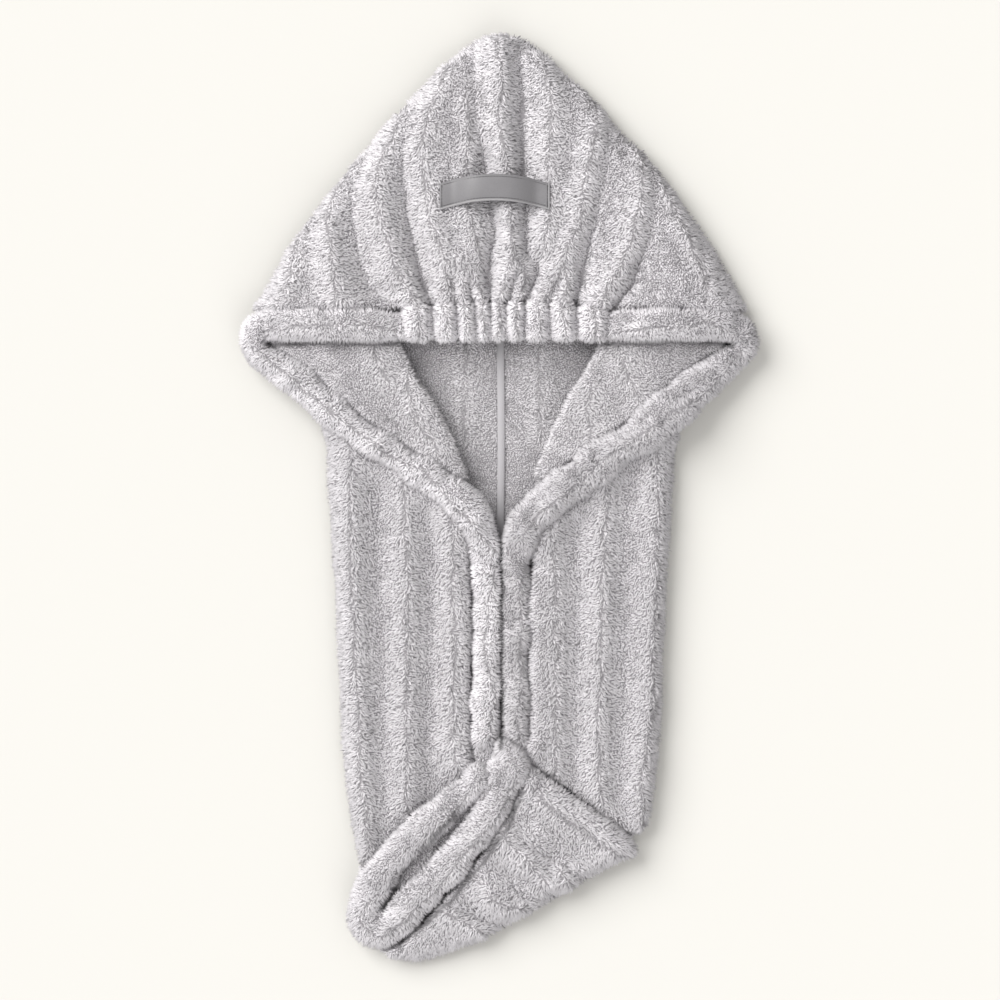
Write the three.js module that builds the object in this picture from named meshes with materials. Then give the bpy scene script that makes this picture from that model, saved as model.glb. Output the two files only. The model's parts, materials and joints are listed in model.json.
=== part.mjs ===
// Hair turban towel of ribbed plush, lying flat with its nape side up.
// X runs across it, Y from the tail to the crown's apex, Z up from the table.
import * as THREE from 'three';

// Driving sizes, in millimetres.
const LENGTH = 600;         // apex of the crown to the tip of the folded tail
const WIDTH = 328;          // corner to corner across the nape
const PLUSH = 5;            // one ply of cloth with its pile
const RIB_RISE = 3.4;       // crest of a rib over its valley
const LAPEL_RISE = 1.2;     // the same on the inside of the cloth, on the lapels
const TUBE_GAP = 6;         // air between the back and the front of the body
const HOOD_HOLLOW = 16;     // clear height inside the hood at the nape
const ROLL = 11.5;          // depth of the rolled rim and of the nape casing
const GATHER_RISE = 3;      // how deep the elastic pulls the casing in between its lobes
const PLEAT_RISE = 2.6;     // height of the pleats that run up the crown from the casing
const HEM_PITCH = 33;       // distance between pinches along the straight hems
const HEM_PINCH = 1.3;      // how far each pinch pulls the hem's outer edge in
const TURN = 28;            // reach of the crown's rounded side folds
const SIDE_TURN = 9;        // reach of the body's rounded side folds
const STRAP_LENGTH = 69;
const STRAP_WIDTH = 17;
const STRAP_THICK = 2.2;
const STRAP_BOW = 5.4;      // how far the strap's middle is bowed towards the apex
const STRAP_LIFT = 8;       // how far the strap's middle stands over its sewn ends
const STRAP_PAD = 7;        // sewn length at each end
const BINDING_WIDTH = 4.6;
const BINDING_THICK = 2;
const CLEAR = 0.35;         // gap between neighbouring pieces

// Heights that follow from them.
const BACK_TOP = PLUSH;
const SEAT = BACK_TOP + CLEAR;
const FRONT_MID = BACK_TOP + TUBE_GAP + PLUSH / 2;
const LAPEL_LOW = BACK_TOP + TUBE_GAP + PLUSH + CLEAR;
const CASING_LOW = LAPEL_LOW + PLUSH + LAPEL_RISE + CLEAR;
const CROWN_MID = BACK_TOP + HOOD_HOLLOW + PLUSH / 2;

// In each table, up is a percentage of LENGTH from the tail's tip, and every sideways
// place is a percentage of half of WIDTH from the centre seam, to the right if positive.

// Outer edge of the towel.
const OUTLINE = [
  { up: 100, left: -1.6, right: 3.6 },
  { up: 99.7, left: -4.2, right: 6.2 },
  { up: 98.9, left: -9.4, right: 11.5 },
  { up: 97.6, left: -15.6, right: 17.4 },
  { up: 96.2, left: -21.6, right: 22.4 },
  { up: 93.2, left: -32.6, right: 34.6 },
  { up: 90, left: -43.6, right: 45.2 },
  { up: 86.8, left: -53.4, right: 55.7 },
  { up: 83.6, left: -63, right: 65.7 },
  { up: 80.4, left: -71.9, right: 74.7 },
  { up: 77.2, left: -80.5, right: 82.8 },
  { up: 74, left: -88, right: 89.9 },
  { up: 71.4, left: -93.8, right: 95.3 },
  { up: 69.8, left: -96.3, right: 97.4 },
  { up: 68, left: -97.7, right: 98.4 },
  { up: 66.1, left: -97.7, right: 98 },
  { up: 64.6, left: -93.5, right: 94 },
  { up: 62.7, left: -86, right: 86.6 },
  { up: 60.6, left: -77, right: 78 },
  { up: 58.4, left: -68.8, right: 70.8 },
  { up: 55.8, left: -66.5, right: 69.2 },
  { up: 52, left: -66.1, right: 68 },
  { up: 46.7, left: -64.9, right: 66.5 },
  { up: 40.3, left: -62.8, right: 64.5 },
  { up: 33.9, left: -61.8, right: 63.4 },
  { up: 27.5, left: -61, right: 62.6 },
  { up: 21.1, left: -59.8, right: 61 },
  { up: 17.9, left: -57.9, right: 59.5 },
  { up: 15.1, left: -56.7, right: 56.3 },
  { up: 13.1, left: -55.7, right: 51.6 },
  { up: 10.9, left: -55.6, right: 41.4 },
  { up: 8.5, left: -57, right: 27.4 },
  { up: 6.4, left: -57.9, right: 15.2 },
  { up: 4.3, left: -55.4, right: 0.4 },
  { up: 2.3, left: -48.8, right: -15.2 },
  { up: 1, left: -41.5, right: -26.2 },
];

// Height of the crown's middle ply, from its seat on the back panel to the nape.
const CROWN_RISE = [
  { up: 100, share: 0.28 },
  { up: 99.7, share: 0.32 },
  { up: 98.9, share: 0.4 },
  { up: 97.6, share: 0.46 },
  { up: 96.2, share: 0.55 },
  { up: 93.2, share: 0.66 },
  { up: 90, share: 0.74 },
  { up: 83.6, share: 0.86 },
  { up: 77.2, share: 0.95 },
  { up: 69.8, share: 1 },
];

// Valleys between the crown's ribs, and how much each rib rises.
const CROWN_VALLEYS = [
  { up: 98.9, left3: -77.4, left2: -57.9, left1: -36.5, mid1: -10.7, mid2: 8.4, right1: 39.6, right2: 63, right3: 86.4 },
  { up: 92.5, left3: -77.4, left2: -57.9, left1: -37.2, mid1: -10.3, mid2: 8.8, right1: 41.9, right2: 63, right3: 84.4 },
  { up: 87.2, left3: -78.2, left2: -59.1, left1: -37.6, mid1: -9.6, mid2: 9.6, right1: 41.9, right2: 63, right3: 84.4 },
  { up: 81.9, left3: -78.9, left2: -59.1, left1: -36.1, mid1: -5.3, mid2: 10.3, right1: 40.7, right2: 61.8, right3: 83.2 },
  { up: 76.5, left3: -77, left2: -55.6, left1: -31.8, mid1: -3.3, mid2: 11.1, right1: 35.3, right2: 58.3, right3: 84.4 },
  { up: 71.2, left3: -73.9, left2: -47, left1: -25.9, mid1: -2.9, mid2: 10.7, right1: 30.2, right2: 47.8, right3: 78.6 },
  { up: 66.4, left3: -73.9, left2: -47, left1: -25.9, mid1: -2.9, mid2: 10.7, right1: 30.2, right2: 47.8, right3: 78.6 },
];
const CROWN_LINES = ['left3', 'left2', 'left1', 'mid1', 'mid2', 'right1', 'right2', 'right3'];
const CROWN_SHARES = [0.8, 0.9, 1, 1.45, 1, 1, 0.8];

// Lines where the elastic pinches the casing, at the nape and where the pleats die out.
const PINCHES = [
  { nape: -38.4, spread: -43 },
  { nape: -25.1, spread: -31 },
  { nape: -16.2, spread: -21 },
  { nape: -8.8, spread: -12 },
  { nape: -3.1, spread: -4 },
  { nape: 2.7, spread: 4 },
  { nape: 9.9, spread: 12.6 },
  { nape: 19.7, spread: 25 },
  { nape: 30, spread: 37 },
  { nape: 43.5, spread: 51 },
];
const PLEATS_FROM = 78.5;

// Top edge of the nape casing.
const NAPE_LINE = [
  { across: -100, up: 69.8 },
  { across: -45, up: 69.8 },
  { across: -25, up: 70.3 },
  { across: -8, up: 70.6 },
  { across: 12, up: 70.6 },
  { across: 30, up: 70.4 },
  { across: 45, up: 69.9 },
  { across: 100, up: 69.8 },
];

// Plain ends of the casing: outer (o) and inner (i) edge, and how far it climbs over the lapels.
const CASING_LEFT = [
  { ox: -90.6, ou: 69.8, ix: -89.5, iu: 66.8, climb: 0.34 },
  { ox: -82, ou: 69.8, ix: -81.6, iu: 66.7, climb: 0.6 },
  { ox: -71, ou: 69.8, ix: -71, iu: 66.6, climb: 0.88 },
  { ox: -60, ou: 69.8, ix: -60, iu: 66.6, climb: 1 },
  { ox: -49, ou: 69.8, ix: -49, iu: 66.5, climb: 1 },
];
const CASING_RIGHT = [
  { ox: 54, ou: 69.8, ix: 54, iu: 66.5, climb: 1 },
  { ox: 63, ou: 69.8, ix: 63, iu: 66.6, climb: 1 },
  { ox: 72, ou: 69.8, ix: 72, iu: 66.7, climb: 0.88 },
  { ox: 82, ou: 69.8, ix: 81.6, iu: 66.8, climb: 0.6 },
  { ox: 90.6, ou: 69.8, ix: 89.5, iu: 66.8, climb: 0.34 },
];

// Rolled rim from each corner down the V: outer and inner edge and climb over the front.
const RIM_LEFT = [
  { ox: -91, ou: 69.8, ix: -89.9, iu: 66.8, climb: 0.5 },
  { ox: -95.7, ou: 69.2, ix: -91, iu: 66.8, climb: 0.42 },
  { ox: -98.4, ou: 68, ix: -91.6, iu: 66.7, climb: 0.3 },
  { ox: -99.2, ou: 66.6, ix: -91.8, iu: 66.5, climb: 0.16 },
  { ox: -98, ou: 65.2, ix: -91.5, iu: 66.4, climb: 0.06 },
  { ox: -94.2, ou: 64.1, ix: -90.4, iu: 66.2, climb: 0.04 },
  { ox: -87.9, ou: 62.8, ix: -82.5, iu: 65.1, climb: 0.14 },
  { ox: -78.9, ou: 60.7, ix: -72.3, iu: 63.4, climb: 0.5 },
  { ox: -70, ou: 58.4, ix: -63, iu: 60.9, climb: 0.9 },
  { ox: -58.7, ou: 56.3, ix: -52.4, iu: 58.5, climb: 1 },
  { ox: -47, ou: 54.3, ix: -41.9, iu: 56.6, climb: 1 },
  { ox: -36.8, ou: 52.2, ix: -31.4, iu: 54.8, climb: 1 },
  { ox: -27.5, ou: 50.6, ix: -22, iu: 53.3, climb: 1 },
  { ox: -19.7, ou: 49, ix: -13.8, iu: 51.7, climb: 1 },
  { ox: -14.6, ou: 47.4, ix: -7.2, iu: 49.9, climb: 1 },
  { ox: -11.7, ou: 45.8, ix: -2.5, iu: 48, climb: 0.84 },
  { ox: -10.5, ou: 44.2, ix: 0.1, iu: 45.9, climb: 0.38 },
  { ox: -9.9, ou: 42.2, ix: 0.5, iu: 43, climb: 0.32 },
];
const RIM_RIGHT = [
  { ox: 91, ou: 69.8, ix: 89.9, iu: 66.8, climb: 0.5 },
  { ox: 95.7, ou: 69.1, ix: 91, iu: 66.7, climb: 0.42 },
  { ox: 98.4, ou: 67.9, ix: 91.6, iu: 66.6, climb: 0.3 },
  { ox: 99.2, ou: 66.5, ix: 91.7, iu: 66.5, climb: 0.16 },
  { ox: 98, ou: 65.1, ix: 91.3, iu: 66.3, climb: 0.06 },
  { ox: 94.2, ou: 64, ix: 89.9, iu: 66.1, climb: 0.04 },
  { ox: 87.1, ou: 62.4, ix: 80.9, iu: 65, climb: 0.14 },
  { ox: 78.6, ou: 60.2, ix: 72.3, iu: 63.1, climb: 0.5 },
  { ox: 70.4, ou: 57.9, ix: 62.2, iu: 60.8, climb: 0.9 },
  { ox: 61, ou: 56, ix: 54.4, iu: 59, climb: 1 },
  { ox: 52.8, ou: 54.4, ix: 46.6, iu: 57.4, climb: 1 },
  { ox: 43.5, ou: 52.5, ix: 38, iu: 56, climb: 1 },
  { ox: 33.7, ou: 50.6, ix: 28.3, iu: 53.9, climb: 1 },
  { ox: 23.2, ou: 48.7, ix: 18.1, iu: 51.5, climb: 1 },
  { ox: 16.6, ou: 47.2, ix: 9.2, iu: 49.4, climb: 1 },
  { ox: 13.5, ou: 45.7, ix: 4.3, iu: 47.3, climb: 0.86 },
  { ox: 12.3, ou: 44.1, ix: 1.8, iu: 45.5, climb: 0.38 },
  { ox: 11.8, ou: 42.2, ix: 1.4, iu: 42.6, climb: 0.32 },
];
// The straight hems below, side by side down to the tail.
const HEMS_END = 21.8;

// Front panels: side fold, edge at the centre or the lapel's fold, and how far they sink.
const FRONT_LEFT = [
  { up: 67.9, side: -51.7, centre: -40, sink: 0 },
  { up: 66.3, side: -55.6, centre: -38.4, sink: 0 },
  { up: 63.5, side: -59.5, centre: -33.7, sink: 0 },
  { up: 60.6, side: -63.4, centre: -26.3, sink: 0 },
  { up: 58.4, side: -66.5, centre: -21.6, sink: 0 },
  { up: 55.8, side: -67.1, centre: -17, sink: 0 },
  { up: 53.1, side: -66.7, centre: -13.4, sink: 0 },
  { up: 49.6, side: -66, centre: -11.8, sink: 0 },
  { up: 45, side: -64.9, centre: -11.6, sink: 0 },
  { up: 40.3, side: -63.4, centre: -11.4, sink: 0 },
  { up: 33.9, side: -62.4, centre: -11.4, sink: 0 },
  { up: 27.5, side: -61.4, centre: -11.4, sink: 0 },
  { up: 22.7, side: -60.4, centre: -11.4, sink: 0 },
  { up: 20.4, side: -59.6, centre: -12.2, sink: 0 },
  { up: 17.9, side: -58.3, centre: -20.5, sink: 0.1 },
  { up: 15.8, side: -57.3, centre: -29.8, sink: 0.25 },
  { up: 13.9, side: -56.3, centre: -37.2, sink: 0.45 },
  { up: 12.4, side: -54.8, centre: -42.3, sink: 0.65 },
  { up: 11, side: -54.2, centre: -47.4, sink: 0.85 },
];
const FRONT_RIGHT = [
  { up: 67.9, side: 53.6, centre: 40.7, sink: 0 },
  { up: 66.3, side: 57.5, centre: 39.2, sink: 0 },
  { up: 63.5, side: 60.6, centre: 33.7, sink: 0 },
  { up: 60.6, side: 64.5, centre: 27.1, sink: 0 },
  { up: 58.4, side: 68.6, centre: 23.2, sink: 0 },
  { up: 55.8, side: 68.8, centre: 18.9, sink: 0 },
  { up: 53.1, side: 68.2, centre: 15.6, sink: 0 },
  { up: 49.6, side: 67.4, centre: 13.6, sink: 0 },
  { up: 45, side: 66.2, centre: 13.4, sink: 0 },
  { up: 40.3, side: 64.9, centre: 13.2, sink: 0 },
  { up: 33.9, side: 63.8, centre: 13.2, sink: 0 },
  { up: 27.5, side: 63, centre: 13.2, sink: 0 },
  { up: 22.7, side: 62, centre: 13.2, sink: 0 },
  { up: 21.3, side: 61.6, centre: 15.6, sink: 0 },
  { up: 20, side: 61, centre: 22.4, sink: 0 },
  { up: 18.4, side: 60, centre: 29.4, sink: 0 },
  { up: 16.8, side: 58.9, centre: 37.2, sink: 0 },
  { up: 15.2, side: 57.1, centre: 44.6, sink: 0.1 },
  { up: 14.5, side: 55.6, centre: 47.2, sink: 0.2 },
];
const FRONT_VALLEYS_LEFT = [
  { up: 68, side: -68.5, outer: -47.4, inner: -26.3, centre: -9.9 },
  { up: 45, side: -67, outer: -47.2, inner: -26.3, centre: -9.9 },
  { up: 27, side: -64, outer: -46.5, inner: -26, centre: -9.9 },
  { up: 11, side: -61, outer: -46, inner: -26, centre: -9.9 },
];
const FRONT_VALLEYS_RIGHT = [
  { up: 68, centre: 11.3, inner: 29.4, outer: 48.6, side: 71 },
  { up: 45, centre: 11.3, inner: 29.4, outer: 48.4, side: 68.6 },
  { up: 27, centre: 11.3, inner: 28.8, outer: 47, side: 65.6 },
  { up: 11, centre: 11.3, inner: 28, outer: 45.6, side: 62 },
];

// Lapels: edge against the rim, edge at the fold, and climb over the front panel.
const LAPEL_LEFT = [
  { up: 67.9, rim: -86.6, fold: -40, climb: 0.2 },
  { up: 66.5, rim: -88.4, fold: -38.2, climb: 0.14 },
  { up: 65.2, rim: -81.4, fold: -35.6, climb: 0.38 },
  { up: 63.4, rim: -71.2, fold: -33, climb: 0.72 },
  { up: 60.9, rim: -61.8, fold: -26.4, climb: 0.98 },
  { up: 58.5, rim: -51.3, fold: -21.2, climb: 1 },
  { up: 56.6, rim: -40.8, fold: -17.6, climb: 1 },
  { up: 54.8, rim: -30.4, fold: -15.2, climb: 1 },
  { up: 53.3, rim: -21, fold: -12.8, climb: 1 },
  { up: 52.3, rim: -15.8, fold: -11.6, climb: 1 },
];
const LAPEL_RIGHT = [
  { up: 67.9, rim: 86.6, fold: 40.4, climb: 0.2 },
  { up: 66.5, rim: 88.4, fold: 39, climb: 0.14 },
  { up: 65, rim: 79.7, fold: 36.4, climb: 0.38 },
  { up: 63.1, rim: 71, fold: 32.6, climb: 0.72 },
  { up: 60.8, rim: 61, fold: 27, climb: 0.98 },
  { up: 59, rim: 53.2, fold: 23.8, climb: 1 },
  { up: 57.4, rim: 45.4, fold: 20.8, climb: 1 },
  { up: 55.8, rim: 36, fold: 18.2, climb: 1 },
  { up: 53.9, rim: 27, fold: 15.6, climb: 1 },
  { up: 52.3, rim: 19.8, fold: 13.4, climb: 1 },
];
const LAPEL_VALLEYS = [{ up: 60, a: -92, b: -74, c: -57, d: -39.5, e: -22, f: 22, g: 36, h: 54, i: 74, j: 92 }];
const LAPEL_LINES = ['a', 'b', 'c', 'd', 'e', 'f', 'g', 'h', 'i', 'j'];

// Rolled hem round the tail's slit: down its left side, round the end, up to the peak.
const TAIL_HEM = [
  { ox: -7.2, ou: 21.4, ix: -4.5, iu: 19.7, climb: 1 },
  { ox: -14.2, ou: 20.4, ix: -9.2, iu: 18.3, climb: 1 },
  { ox: -22.4, ou: 18.6, ix: -15.8, iu: 16.6, climb: 1 },
  { ox: -29.8, ou: 16.8, ix: -22.8, iu: 14.8, climb: 1 },
  { ox: -37.2, ou: 14.8, ix: -29.8, iu: 13, climb: 0.95 },
  { ox: -43.9, ou: 13, ix: -36.5, iu: 11.2, climb: 0.85 },
  { ox: -50.1, ou: 11, ix: -41.1, iu: 9.4, climb: 0.6 },
  { ox: -55.2, ou: 9, ix: -44.2, iu: 7.9, climb: 0.32 },
  { ox: -58, ou: 6.8, ix: -45.6, iu: 7, climb: 0.14 },
  { ox: -58.2, ou: 5, ix: -46, iu: 6.6, climb: 0.06 },
  { ox: -55.6, ou: 3.6, ix: -45.4, iu: 6.2, climb: 0.04 },
  { ox: -50.6, ou: 2.6, ix: -44.4, iu: 6.2, climb: 0.06 },
  { ox: -44.6, ou: 2.6, ix: -43.3, iu: 6.4, climb: 0.14 },
  { ox: -38.8, ou: 3.3, ix: -41.1, iu: 7, climb: 0.26 },
  { ox: -33.3, ou: 4.7, ix: -38.4, iu: 8, climb: 0.4 },
  { ox: -27.9, ou: 6.4, ix: -34.5, iu: 9, climb: 0.56 },
  { ox: -22.4, ou: 8, ix: -30.2, iu: 10.3, climb: 0.7 },
  { ox: -15.8, ou: 10, ix: -24, iu: 11.9, climb: 0.84 },
  { ox: -8.8, ou: 12.4, ix: -18.1, iu: 13.8, climb: 0.94 },
  { ox: -2.9, ou: 14.4, ix: -12.7, iu: 15.8, climb: 1 },
  { ox: 2.1, ou: 16.6, ix: -8, iu: 17.8, climb: 1 },
  { ox: 6.4, ou: 18.8, ix: -4.5, iu: 19.9, climb: 1 },
  { ox: 8.8, ou: 20.5, ix: -2.1, iu: 22.1, climb: 1 },
  { ox: 8.4, ou: 22.2, ix: -0.6, iu: 23.7, climb: 1 },
  { ox: 4.5, ou: 23.8, ix: 1, iu: 24.5, climb: 1 },
];

// Tail flap: edge along that hem, outer edge, and the climb of each.
const TAIL_FLAP = [
  { hx: 10, hu: 20.2, hc: 1, ex: 12.9, eu: 21, ec: 1 },
  { hx: 8, hu: 18.8, hc: 1, ex: 22.4, eu: 19.5, ec: 1 },
  { hx: 4.9, hu: 17.1, hc: 1, ex: 32.9, eu: 17.5, ec: 1 },
  { hx: 1.2, hu: 15.3, hc: 1, ex: 43.1, eu: 15.5, ec: 1 },
  { hx: -2.5, hu: 13.6, hc: 1, ex: 51.4, eu: 13.9, ec: 0.6 },
  { hx: -6.5, hu: 12.2, hc: 0.96, ex: 52.8, eu: 12.7, ec: 0 },
  { hx: -11.2, hu: 10.6, hc: 0.9, ex: 45, eu: 11.2, ec: 0 },
  { hx: -16.3, hu: 9, hc: 0.8, ex: 34.1, eu: 9.5, ec: 0 },
  { hx: -21.3, hu: 7.3, hc: 0.68, ex: 22.8, eu: 7.7, ec: 0 },
  { hx: -26, hu: 5.9, hc: 0.56, ex: 13.4, eu: 6.2, ec: 0 },
  { hx: -31.5, hu: 4.3, hc: 0.42, ex: 1, eu: 4.3, ec: 0 },
  { hx: -36.6, hu: 2.9, hc: 0.28, ex: -11.9, eu: 2.6, ec: 0 },
  { hx: -40.2, hu: 2.2, hc: 0.2, ex: -22.8, eu: 1.4, ec: 0 },
  { hx: -43.3, hu: 1.6, hc: 0.16, ex: -32, eu: 0.8, ec: 0 },
];
// Soft swells and dents in the flap.
const TAIL_SWELLS = [
  { across: 16, up: 12.6, reach: 11, rise: 2 },
  { across: 30, up: 12, reach: 9, rise: -1.4 },
  { across: 24, up: 16.6, reach: 10, rise: -1.2 },
  { across: -3, up: 8.6, reach: 11, rise: 1.8 },
  { across: 8, up: 9.4, reach: 8, rise: -1.4 },
  { across: -14, up: 5, reach: 9, rise: -1 },
  { across: -26, up: 3.4, reach: 10, rise: 1.4 },
];
const FLAP_CREASE = 13;     // distance of the crease from the flap's folded edge, in mm

// Inner ply that shows in the slit, from the peak to the slit's end.
const TAIL_INNER = [
  { ax: -6.6, au: 20.2, bx: 0.6, bu: 19, climb: 0.62 },
  { ax: -14.6, au: 17.8, bx: -4.4, bu: 16, climb: 0.6 },
  { ax: -22.4, au: 15.8, bx: -10, bu: 13.8, climb: 0.55 },
  { ax: -30, au: 13.6, bx: -17.6, bu: 11.6, climb: 0.45 },
  { ax: -36.4, au: 11.4, bx: -25.4, bu: 9.8, climb: 0.28 },
  { ax: -39.6, au: 9.6, bx: -32.4, bu: 8.6, climb: 0 },
];

const place = (across, up) => [(across / 100) * (WIDTH / 2), (up / 100 - 0.5) * LENGTH];
const mix = (a, b, t) => a + (b - a) * t;
const clamp = (v, low, high) => Math.min(Math.max(v, low), high);
const smooth = (v, low, high) => {
  const t = clamp((v - low) / (high - low), 0, 1);
  return t * t * (3 - 2 * t);
};

// Value of a column where the key column has the given value, smooth between rows.
function read(table, key, column, value) {
  if (table.length === 1) return table[0][column];
  const rising = table[1][key] > table[0][key];
  const rows = rising ? table : [...table].reverse();
  const v = clamp(value, rows[0][key], rows[rows.length - 1][key]);
  let i = 0;
  while (i < rows.length - 2 && v > rows[i + 1][key]) i += 1;
  const slope = (a, b) => (rows[b][column] - rows[a][column]) / (rows[b][key] - rows[a][key]);
  const span = rows[i + 1][key] - rows[i][key];
  const s = slope(i, i + 1);
  const before = i > 0 ? slope(i - 1, i) : s;
  const after = i < rows.length - 2 ? slope(i + 1, i + 2) : s;
  const tangent = (a, b) => (a * b <= 0 ? 0 : (2 * a * b) / (a + b));
  const m0 = tangent(before, s) * span;
  const m1 = tangent(s, after) * span;
  const t = (v - rows[i][key]) / span;
  const p0 = rows[i][column];
  const p1 = rows[i + 1][column];
  return p0 * (2 * t ** 3 - 3 * t ** 2 + 1) + m0 * (t ** 3 - 2 * t ** 2 + t)
    + p1 * (-2 * t ** 3 + 3 * t ** 2) + m1 * (t ** 3 - t ** 2);
}

// Share of a rib's rise at a place between the valley lines: 0 in a valley, 1 on a crest.
function ribShare(table, lines, shares, across, up) {
  const at = lines.map((line) => read(table, 'up', line, up));
  let i = 0;
  while (i < at.length - 2 && across > at[i + 1]) i += 1;
  const phase = (across - at[i]) / (at[i + 1] - at[i]);
  const wave = 0.5 - 0.5 * Math.cos(2 * Math.PI * phase);
  const inside = across >= at[0] && across <= at[at.length - 1];
  return Math.pow(wave, 0.8) * (inside && shares ? shares[i] : 0.8);
}

// Closed solid through rings of points, all of the same count. Each ring starts with the
// given number of upper points, and each end is closed by a strip between its two sides.
function loft(rings, upper = rings[0].length / 2) {
  const n = rings[0].length;
  const positions = rings.flat(2);
  const index = [];
  for (let k = 0; k < rings.length - 1; k += 1) {
    for (let j = 0; j < n; j += 1) {
      const a = k * n + j;
      const b = k * n + ((j + 1) % n);
      index.push(a, b, b + n, a, b + n, a + n);
    }
  }
  for (const k of [0, rings.length - 1]) {
    const ring = rings[k];
    const apart = (i, j) => Math.hypot(...ring[i].map((v, axis) => v - ring[j][axis]));
    let a = 0;
    let b = n - 1;
    while (a < upper - 1 || b > upper) {
      const along = b === upper || (a < upper - 1 && apart(a + 1, b) <= apart(a, b - 1));
      index.push(...(along ? [a, a + 1, b] : [a, b - 1, b]).map((v) => v + k * n));
      if (along) a += 1;
      else b -= 1;
    }
  }
  const geometry = new THREE.BufferGeometry();
  geometry.setAttribute('position', new THREE.Float32BufferAttribute(positions, 3));
  geometry.setIndex(index);
  return outward(geometry);
}

// Makes every face of a closed surface agree with its neighbours and point out.
function outward(geometry) {
  const index = [...geometry.index.array];
  const p = geometry.attributes.position;
  const corner = (i) => new THREE.Vector3().fromBufferAttribute(p, i);
  const edges = new Map();
  for (let f = 0; f < index.length; f += 3) {
    for (let e = 0; e < 3; e += 1) {
      const a = index[f + e];
      const b = index[f + ((e + 1) % 3)];
      const key = a < b ? `${a}_${b}` : `${b}_${a}`;
      if (!edges.has(key)) edges.set(key, []);
      edges.get(key).push({ f, forward: a < b });
    }
  }
  const flipped = new Map([[0, false]]);
  const queue = [0];
  while (queue.length) {
    const f = queue.pop();
    for (let e = 0; e < 3; e += 1) {
      const a = index[f + e];
      const b = index[f + ((e + 1) % 3)];
      const pair = edges.get(a < b ? `${a}_${b}` : `${b}_${a}`);
      const mine = pair.find((side) => side.f === f);
      for (const other of pair) {
        if (flipped.has(other.f)) continue;
        const same = other.forward === mine.forward;
        flipped.set(other.f, same ? !flipped.get(f) : flipped.get(f));
        queue.push(other.f);
      }
    }
  }
  for (const [f, turn] of flipped) if (turn) [index[f + 1], index[f + 2]] = [index[f + 2], index[f + 1]];
  let volume = 0;
  for (let f = 0; f < index.length; f += 3) {
    volume += corner(index[f]).dot(corner(index[f + 1]).cross(corner(index[f + 2])));
  }
  if (volume < 0) {
    for (let f = 0; f < index.length; f += 3) [index[f + 1], index[f + 2]] = [index[f + 2], index[f + 1]];
  }
  geometry.setIndex(index);
  geometry.computeVertexNormals();
  return geometry;
}

// Outline of a ply cut across: points carry x, y, z of its middle and its depth below and
// above. A turned end points straight down on to the piece that it is sewn to.
function plyRing(points, turnedStart, turnedEnd) {
  const last = points.length - 1;
  const ux = points[last].x - points[0].x;
  const uy = points[last].y - points[0].y;
  const l = Math.hypot(ux, uy);
  const top = [];
  const bottom = [];
  points.forEach((p, i) => {
    const a = points[Math.max(i - 1, 0)];
    const b = points[Math.min(i + 1, last)];
    let ds = ((b.x - a.x) * ux + (b.y - a.y) * uy) / l;
    let dz = b.z - a.z;
    if (turnedStart && i === 0) [ds, dz] = [0, 1];
    if (turnedEnd && i === last) [ds, dz] = [0, -1];
    const d = Math.hypot(ds, dz);
    const nx = (-dz / d) * (ux / l);
    const ny = (-dz / d) * (uy / l);
    const nz = ds / d;
    top.push([p.x + nx * p.above, p.y + ny * p.above, p.z + nz * p.above]);
    if (i % 2 === 0 || i === last) {
      bottom.push([p.x - nx * p.below, p.y - ny * p.below, p.z - nz * p.below]);
    }
  });
  return [...top, ...bottom.reverse()];
}

// Places across one ply, as shares of its width: a turned edge closes up its points over
// the given reach, a free edge thins to a round.
function spread(width, count, startReach, endReach) {
  const places = [];
  const edge = (reach) => (reach > 0
    ? [0, 0.134, 0.5, 1].map((q, i) => ({ s: q * reach, rise: Math.sin((i * Math.PI) / 6), thin: 1 }))
    : [{ s: 0, rise: 1, thin: 0.3 }, { s: 0.9, rise: 1, thin: 0.75 }, { s: 2.4, rise: 1, thin: 1 }]);
  const start = edge(startReach);
  const end = edge(endReach);
  const from = start[start.length - 1].s;
  const to = width - end[end.length - 1].s;
  start.forEach((q) => places.push({ ...q, part: 'start' }));
  for (let i = 1; i <= count; i += 1) {
    places.push({ s: mix(from, to, i / (count + 1)), rise: 1, thin: 1, part: 'middle' });
  }
  end.reverse().forEach((q) => places.push({ ...q, s: width - q.s, part: 'end' }));
  return places;
}

// Rolled edge through rows of outer and inner edge, low point and depth.
function roll(rows, steps = 10) {
  return rows.map((row) => {
    const ring = [];
    for (let k = 0; k < steps; k += 1) {
      const angle = (2 * Math.PI * k) / steps;
      const c = Math.cos(angle);
      const s = Math.sin(angle);
      const soft = (v) => Math.sign(v) * Math.pow(Math.abs(v), 0.85);
      ring.push([
        mix(row.i[0], row.o[0], 0.5 + 0.5 * soft(c)),
        mix(row.i[1], row.o[1], 0.5 + 0.5 * soft(c)),
        row.low + row.deep * (0.5 + 0.5 * soft(s)),
      ]);
    }
    return ring;
  });
}

// Adds rows between the given ones along smooth curves.
function refine(rows, between) {
  const out = [];
  const blend = (a, b, c, d, t) => 0.5 * (2 * b + (c - a) * t
    + (2 * a - 5 * b + 4 * c - d) * t * t + (3 * b - a - 3 * c + d) * t ** 3);
  for (let i = 0; i < rows.length - 1; i += 1) {
    const four = [i - 1, i, i + 1, i + 2].map((k) => rows[clamp(k, 0, rows.length - 1)]);
    for (let k = 0; k <= between; k += 1) {
      const t = k / (between + 1);
      const row = {};
      for (const key of Object.keys(rows[i])) row[key] = blend(...four.map((r) => r[key]), t);
      out.push(row);
    }
  }
  out.push(rows[rows.length - 1]);
  return out;
}

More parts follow.
